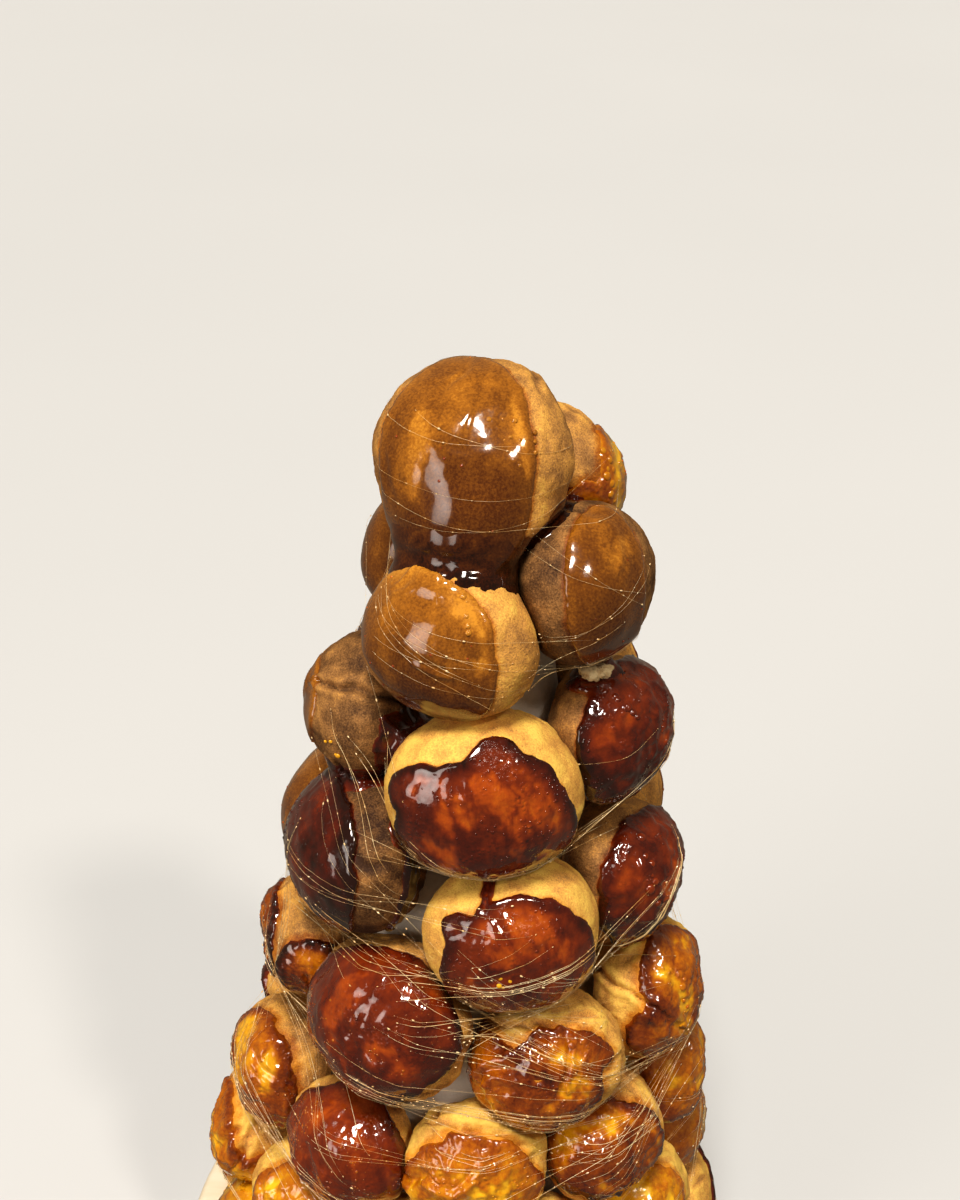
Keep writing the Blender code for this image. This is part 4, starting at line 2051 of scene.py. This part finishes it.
    def _threads(self, name: str, source: Mesh, sugar: Material) -> None:
        """Makes threads.

        Args:
            name: Which part of them.
            source: Mesh of bare edges.
            sugar: Their finish.
        """
        tree = Growth("threads", {"Sides": 3})
        curve = tree.node("GeometryNodeMeshToCurve", None, {0: tree.source})
        round_wire = {"Resolution": tree.size("Sides"), "Radius": 1.0}
        ring = tree.node("GeometryNodeCurvePrimitiveCircle", None, round_wire)
        sockets = {0: curve.outputs[0], 1: ring.outputs[0], 2: tree.held("radius_held"), 3: True}
        tube = tree.node("GeometryNodeCurveToMesh", None, sockets)
        settle(tree.grow(f"spun_sugar_{name}", tube.outputs[0], source, sugar), "spun_sugar")

    def _beads(self, name: str, source: Mesh, sugar: Material) -> None:
        """Strings small beads along threads.

        Args:
            name: Which part of the threads.
            source: Mesh of bare edges.
            sugar: Finish of the beads.
        """
        tree = Growth("beads", {"Bead size": self.bead, "Gap": self.bead_gap})
        curve = tree.node("GeometryNodeMeshToCurve", None, {0: tree.source})
        sockets = {0: curve.outputs[0], 2: tree.size("Gap")}
        spots = tree.node("GeometryNodeCurveToPoints", {"mode": "LENGTH"}, sockets)
        ball = tree.node("GeometryNodeMeshIcoSphere", None, {0: 1.0, 1: 1})
        wide = tree.size("Bead size") * (tree.chance(0.0, 1.0, 5) ** 2.0 * 1.1 + 0.5)
        placed = tree.set_on(spots, ball, wide, wide * 2.2)
        settle(tree.grow(f"sugar_beads_{name}", placed, source, sugar), "spun_sugar")

    def build(self, sugar: Material) -> None:
        """Makes the threads and the beads on them.

        Args:
            sugar: Finish of the threads.
        """
        points, radius = self.lay()
        log.info("threads: %d", len(points))
        right = points[:, :, 0].mean(1) > 0
        for name, chosen in (("left", ~right), ("right", right)):
            for make in (self._threads, self._beads):
                make(name, self._source(points[chosen], radius[chosen]), sugar)


# Core and board


@dataclass
class TaperedCore:
    """The smooth white cone that the buns stand round, by Geometry Nodes."""

    widening: float = WIDENING
    sides: int = 160
    steps: int = 60

    def build(self, material: Material) -> None:
        """Makes the piece in the place of its solid.

        Args:
            material: The core's finish.
        """
        low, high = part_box("tapered_core")
        foot, tall = (high.x - low.x) / 2, high.z - low.z
        inputs = {"Foot radius": foot, "Top radius": foot - self.widening * tall, "Height": tall}
        tree = Growth("tapered_core", inputs | {"Sides": self.sides, "Steps": self.steps})
        sockets = {
            "Vertices": tree.size("Sides"),
            "Side Segments": tree.size("Steps"),
            "Radius Top": tree.size("Top radius"),
            "Radius Bottom": tree.size("Foot radius"),
            "Depth": tree.size("Height"),
        }
        cone = tree.node("GeometryNodeMeshCone", None, sockets)
        sockets = {0: cone.outputs[0], 1: (0.0, 0.0, low.z)}
        moved = tree.node("GeometryNodeTransform", None, sockets)
        source = bpy.data.meshes.new("core_source")
        piece = tree.grow("core_cone", moved.outputs[0], source, material)
        settle(piece, "core_white", "tapered_core")


@dataclass
class RoundBoard:
    """The plain round board, its edges eased."""

    edge_round: float = 4 * MM
    edge_steps: int = 8
    sides: int = 192
    rings: int = 10  # over its flat top, and as many under it
    innermost: float = 0.02  # radius of the smallest, as a share of the flat

    def _profile(self, low: Vector, high: Vector) -> tuple[Array, Array]:
        """Draws half of the board's section, from the middle of its top to the middle of its foot.

        Args:
            low: Lowest corner of its box.
            high: Highest corner.

        Returns:
            Radii and heights.
        """
        flat = (high.x - low.x) / 2 - self.edge_round
        quarter = np.linspace(0, math.pi / 2, self.edge_steps + 1)
        inner = np.linspace(self.innermost, 1, self.rings) * flat
        rim = flat + np.sin(quarter) * self.edge_round
        fall = self.edge_round * (1 - np.cos(quarter))
        level = np.ones(self.rings - 1)
        across = np.concatenate([inner[:-1], rim, rim[::-1], inner[-2::-1]])
        heights = [level * high.z, high.z - fall, (low.z + fall)[::-1], level * low.z]
        return across, np.concatenate(heights)

    def build(self, material: Material) -> None:
        """Makes the piece in the place of its solid.

        Args:
            material: The board's finish.
        """
        low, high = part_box("round_board")
        across, heights = self._profile(low, high)
        n, rows = self.sides, len(across)
        turn = np.arange(n) * 2 * math.pi / n
        level = np.repeat(heights[:, None], n, 1)
        around = [np.outer(across, np.cos(turn)), np.outer(across, np.sin(turn)), level]
        i, j = (g.ravel() for g in np.meshgrid(range(rows - 1), range(n), indexing="ij"))
        k = (j + 1) % n
        quads = np.stack([i * n + j, (i + 1) * n + j, (i + 1) * n + k, i * n + k], 1)
        ends = np.array([[0.0, 0.0, high.z], [0.0, 0.0, low.z]])
        here = np.arange(n)
        following = (here + 1) % n
        last = (rows - 1) * n
        crown = np.stack([np.full(n, rows * n), here, following], 1)
        base = np.stack([np.full(n, rows * n + 1), last + following, last + here], 1)
        points = np.concatenate([np.stack(around, -1).reshape(-1, 3), ends])
        triangles = np.concatenate([quads[:, [0, 1, 2]], quads[:, [0, 2, 3]], crown, base])
        piece = new_piece("serving_board", (points, triangles, {}), material)
        settle(piece, "board_wood", "round_board")


# Light and camera


@dataclass(frozen=True)
class Lamp:
    """A soft lamp that points at the middle of the tower, or a distant one that lights all evenly."""

    name: str
    place: Place
    power: float  # in watts, or a distant lamp's strength
    code: str
    wide: float  # how wide its beam opens or a distant lamp looks, in degrees
    size: Range | None = None  # width and height of a soft lamp
    aim: Place = (0.0, 0.0, 0.2)

    def hang(self) -> None:
        """Hangs it."""
        light = bpy.data.lights.new(self.name, "AREA" if self.size else "SUN")
        light.energy = self.power
        light.color = tint(self.code)[:3]
        way, place = Vector(self.place), (0.0, 0.0, 0.0)
        if self.size:
            light.shape = "RECTANGLE"
            light.size, light.size_y = self.size
            light.spread = math.radians(self.wide)
            way, place = way - Vector(self.aim), self.place
        else:
            light.angle = math.radians(self.wide)
        turn = way.to_track_quat("Z", "Y").to_matrix().to_4x4()
        put(self.name, light).matrix_world = Matrix.Translation(place) @ turn


@dataclass(frozen=True)
class Studio:
    """Pale floor, soft light and the camera at the serving side."""

    pitch: float = 30.0  # degrees that the camera looks down
    roll: float = 2.7
    lens: float = 54.0
    floor_radius: float = 4.0
    sides: int = 96
    cloth_height: float = 5.0
    cloth_in: float = 0.99  # where the cloth hangs, as a share of the floor's radius
    lamps: tuple[Lamp, ...] = (
        Lamp("overhead", (-0.16, -0.62, 1.6), 2.5, "#fffaf2", 15.0),
        Lamp("side_lamp", (0.75, -0.9, 1.5), 0.6, "#fff4e6", 7.0),
        Lamp("window", (-0.95, -0.85, 0.5), 1.1, "#fdf3ea", 70.0, (0.62, 0.85)),
    )
    air: str = "#f5e2c8"
    air_strength: float = 0.18
    exposure: float = 0.46
    gamma: float = 0.88

    def stage(self) -> None:
        """Lays the floor and hangs the cloth round it, where neither lights nor mirrors in the tower."""
        n = self.sides
        turn = np.arange(n) / n * 2 * math.pi
        ring = np.stack([np.cos(turn), np.sin(turn), np.zeros(n)], 1) * self.floor_radius
        here = np.arange(n)
        following = (here + 1) % n
        disc = np.stack([here, following, np.full(n, n)], 1)
        floor_points = np.concatenate([ring, np.zeros((1, 3))])
        floor = new_piece("floor", (floor_points, disc, {}), FloorFinish().material())
        foot = ring * self.cloth_in
        band = np.stack([following, here, here + n, following + n], 1)
        cloth_points = np.concatenate([foot, foot + np.array([0, 0, self.cloth_height])])
        cloth = new_piece("backdrop", (cloth_points, band, {}), BackdropFinish().material())
        for piece in (floor, cloth):
            piece.visible_diffuse = piece.visible_glossy = False
        cloth.visible_shadow = False

    def camera(self) -> None:
        """Sets up the camera."""
        lens = bpy.data.cameras.new("camera")
        lens.lens = self.lens
        lens.sensor_width = 36.0
        lens.clip_start = 0.01
        camera = put("camera", lens)
        camera.matrix_world = (
            Matrix.Translation(EYE)
            @ Matrix.Rotation(math.radians(90 - self.pitch), 4, "X")
            @ Matrix.Rotation(math.radians(self.roll), 4, "Z")
        )
        bpy.context.scene.camera = camera

    def build(self) -> None:
        """Sets up everything."""
        self.stage()
        self.camera()
        for lamp in self.lamps:
            lamp.hang()
        world = bpy.data.worlds.new("room")
        world.use_nodes = True
        back = world.node_tree.nodes["Background"]
        back.inputs["Color"].default_value = tint(self.air)
        back.inputs["Strength"].default_value = self.air_strength
        scene = bpy.context.scene
        scene.world = world
        scene.view_settings.view_transform = "Standard"
        scene.view_settings.look = "None"
        scene.view_settings.exposure = self.exposure
        scene.view_settings.gamma = self.gamma


# The whole


@dataclass
class HiddenDressings:
    """What the buns that the guests don't see wear, drawn at random from the same sorts."""

    seed: int = 5
    high_pours: tuple[Pour, ...] = (Pour.DIP, Pour.DIP, Pour.CRACKLE, Pour.GLAZE)
    low_pours: tuple[Pour, ...] = (Pour.SYRUP, Pour.SYRUP, Pour.DIP)
    high_toast: Range = (0.25, 0.5)
    low_toast: Range = (0.04, 0.28)
    creased: float = 0.6  # share of them that have a cleft right across
    dice: Dice = field(init=False)

    def __post_init__(self) -> None:
        """Readies the dice."""
        self.dice = np.random.default_rng(self.seed)

    def _patches(self) -> tuple[Patch, ...]:
        """Draws one large patch, with smaller ones beside it.

        Returns:
            The patches.
        """
        draw = self.dice.uniform
        x, y = draw(-0.45, 0.45), draw(-0.5, 0.15)
        patches = [Patch(x, y, draw(0.7, 1.15), draw(0.65, 1.1), draw(-40, 40))]
        for _ in range(self.dice.integers(1, 4)):
            near_x, near_y = x + draw(-0.8, 0.8), y + draw(-0.7, 0.6)
            width, height = draw(0.2, 0.5), draw(0.2, 0.5)
            patches.append(Patch(near_x, near_y, width, height, draw(0, 90)))
        return tuple(patches)

    def draw(self, bun: Bun) -> Dressing:
        """Draws what one bun wears.

        Args:
            bun: The bun.

        Returns:
            Its dressing.
        """
        high, dice = bun.tier < LOWER_FROM, self.dice
        pours = self.high_pours if high else self.low_pours
        pour = pours[dice.integers(len(pours))]
        patches = self._patches()
        toast = dice.uniform(*(self.high_toast if high else self.low_toast))
        crease = (dice.uniform(-0.5, 0.5), dice.uniform(-70, 70)) if dice.random() < self.creased else None
        return Dressing(toast, pour, dice.uniform(*pour.value.tones), patches, crease=crease)


@dataclass
class Tower:
    """The buns and all that lies on them."""

    foot: float  # height of the board's top
    shown_cells: tuple[int, int] = (36, 54)  # along each side of the grids of a crust and its caramel
    hidden_cells: tuple[int, int] = (20, 30)
    caps: dict[str, CaramelCap] = field(default_factory=dict)
    outside: list[Array] = field(default_factory=list)  # places on its outside

    def build(self) -> None:
        """Makes every piece of it."""
        crust_noise, caramel_noise = GradientNoise(CRUST_SEED), GradientNoise(CARAMEL_SEED)
        crust_finish = CrustFinish().material()
        finishes = {caramel.name: caramel.material() for caramel in CARAMELS}
        hidden = HiddenDressings()
        tiers: dict[int, list[CaramelCap]] = {}
        for bun in read_buns():
            dressing = DRESSINGS.get(bun.label) or hidden.draw(bun)
            crust_cells, cap_cells = self.shown_cells if bun.faces_guests else self.hidden_cells
            crust = Crust(bun, dressing, crust_noise, crust_cells)
            cap = CaramelCap(crust, caramel_noise, cap_cells)
            pieces = [crust.build(crust_finish, cap), cap.build(finishes)]
            self.outside += [places_of(piece.data) for piece in pieces]
            self.caps[bun.label] = cap
            tiers.setdefault(bun.tier, []).append(cap)
        crusts = {label: cap.crust for label, cap in self.caps.items()}
        CaramelBridges(crusts, caramel_noise).build(finishes)
        CaramelDrops(self.caps).build(finishes)
        Crumb().build(self.foot, crust_noise)
        for tier, caps in tiers.items():
            CaramelBubbles(caps, tier).build(finishes["syrup" if tier >= LOWER_FROM else "dip"])


def main() -> None:
    """Builds the croquembouche."""
    logging.basicConfig(level=logging.INFO, format="%(name)s %(message)s")
    TaperedCore().build(ConeFinish().material())
    RoundBoard().build(WoodFinish().material())
    tower = Tower(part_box("round_board")[1].z)
    tower.build()
    relief = Relief(np.concatenate(tower.outside))
    SpunSugar(relief, tower.foot).build(SugarFinish().material())
    Studio().build()


if __name__ == "__main__":
    main()
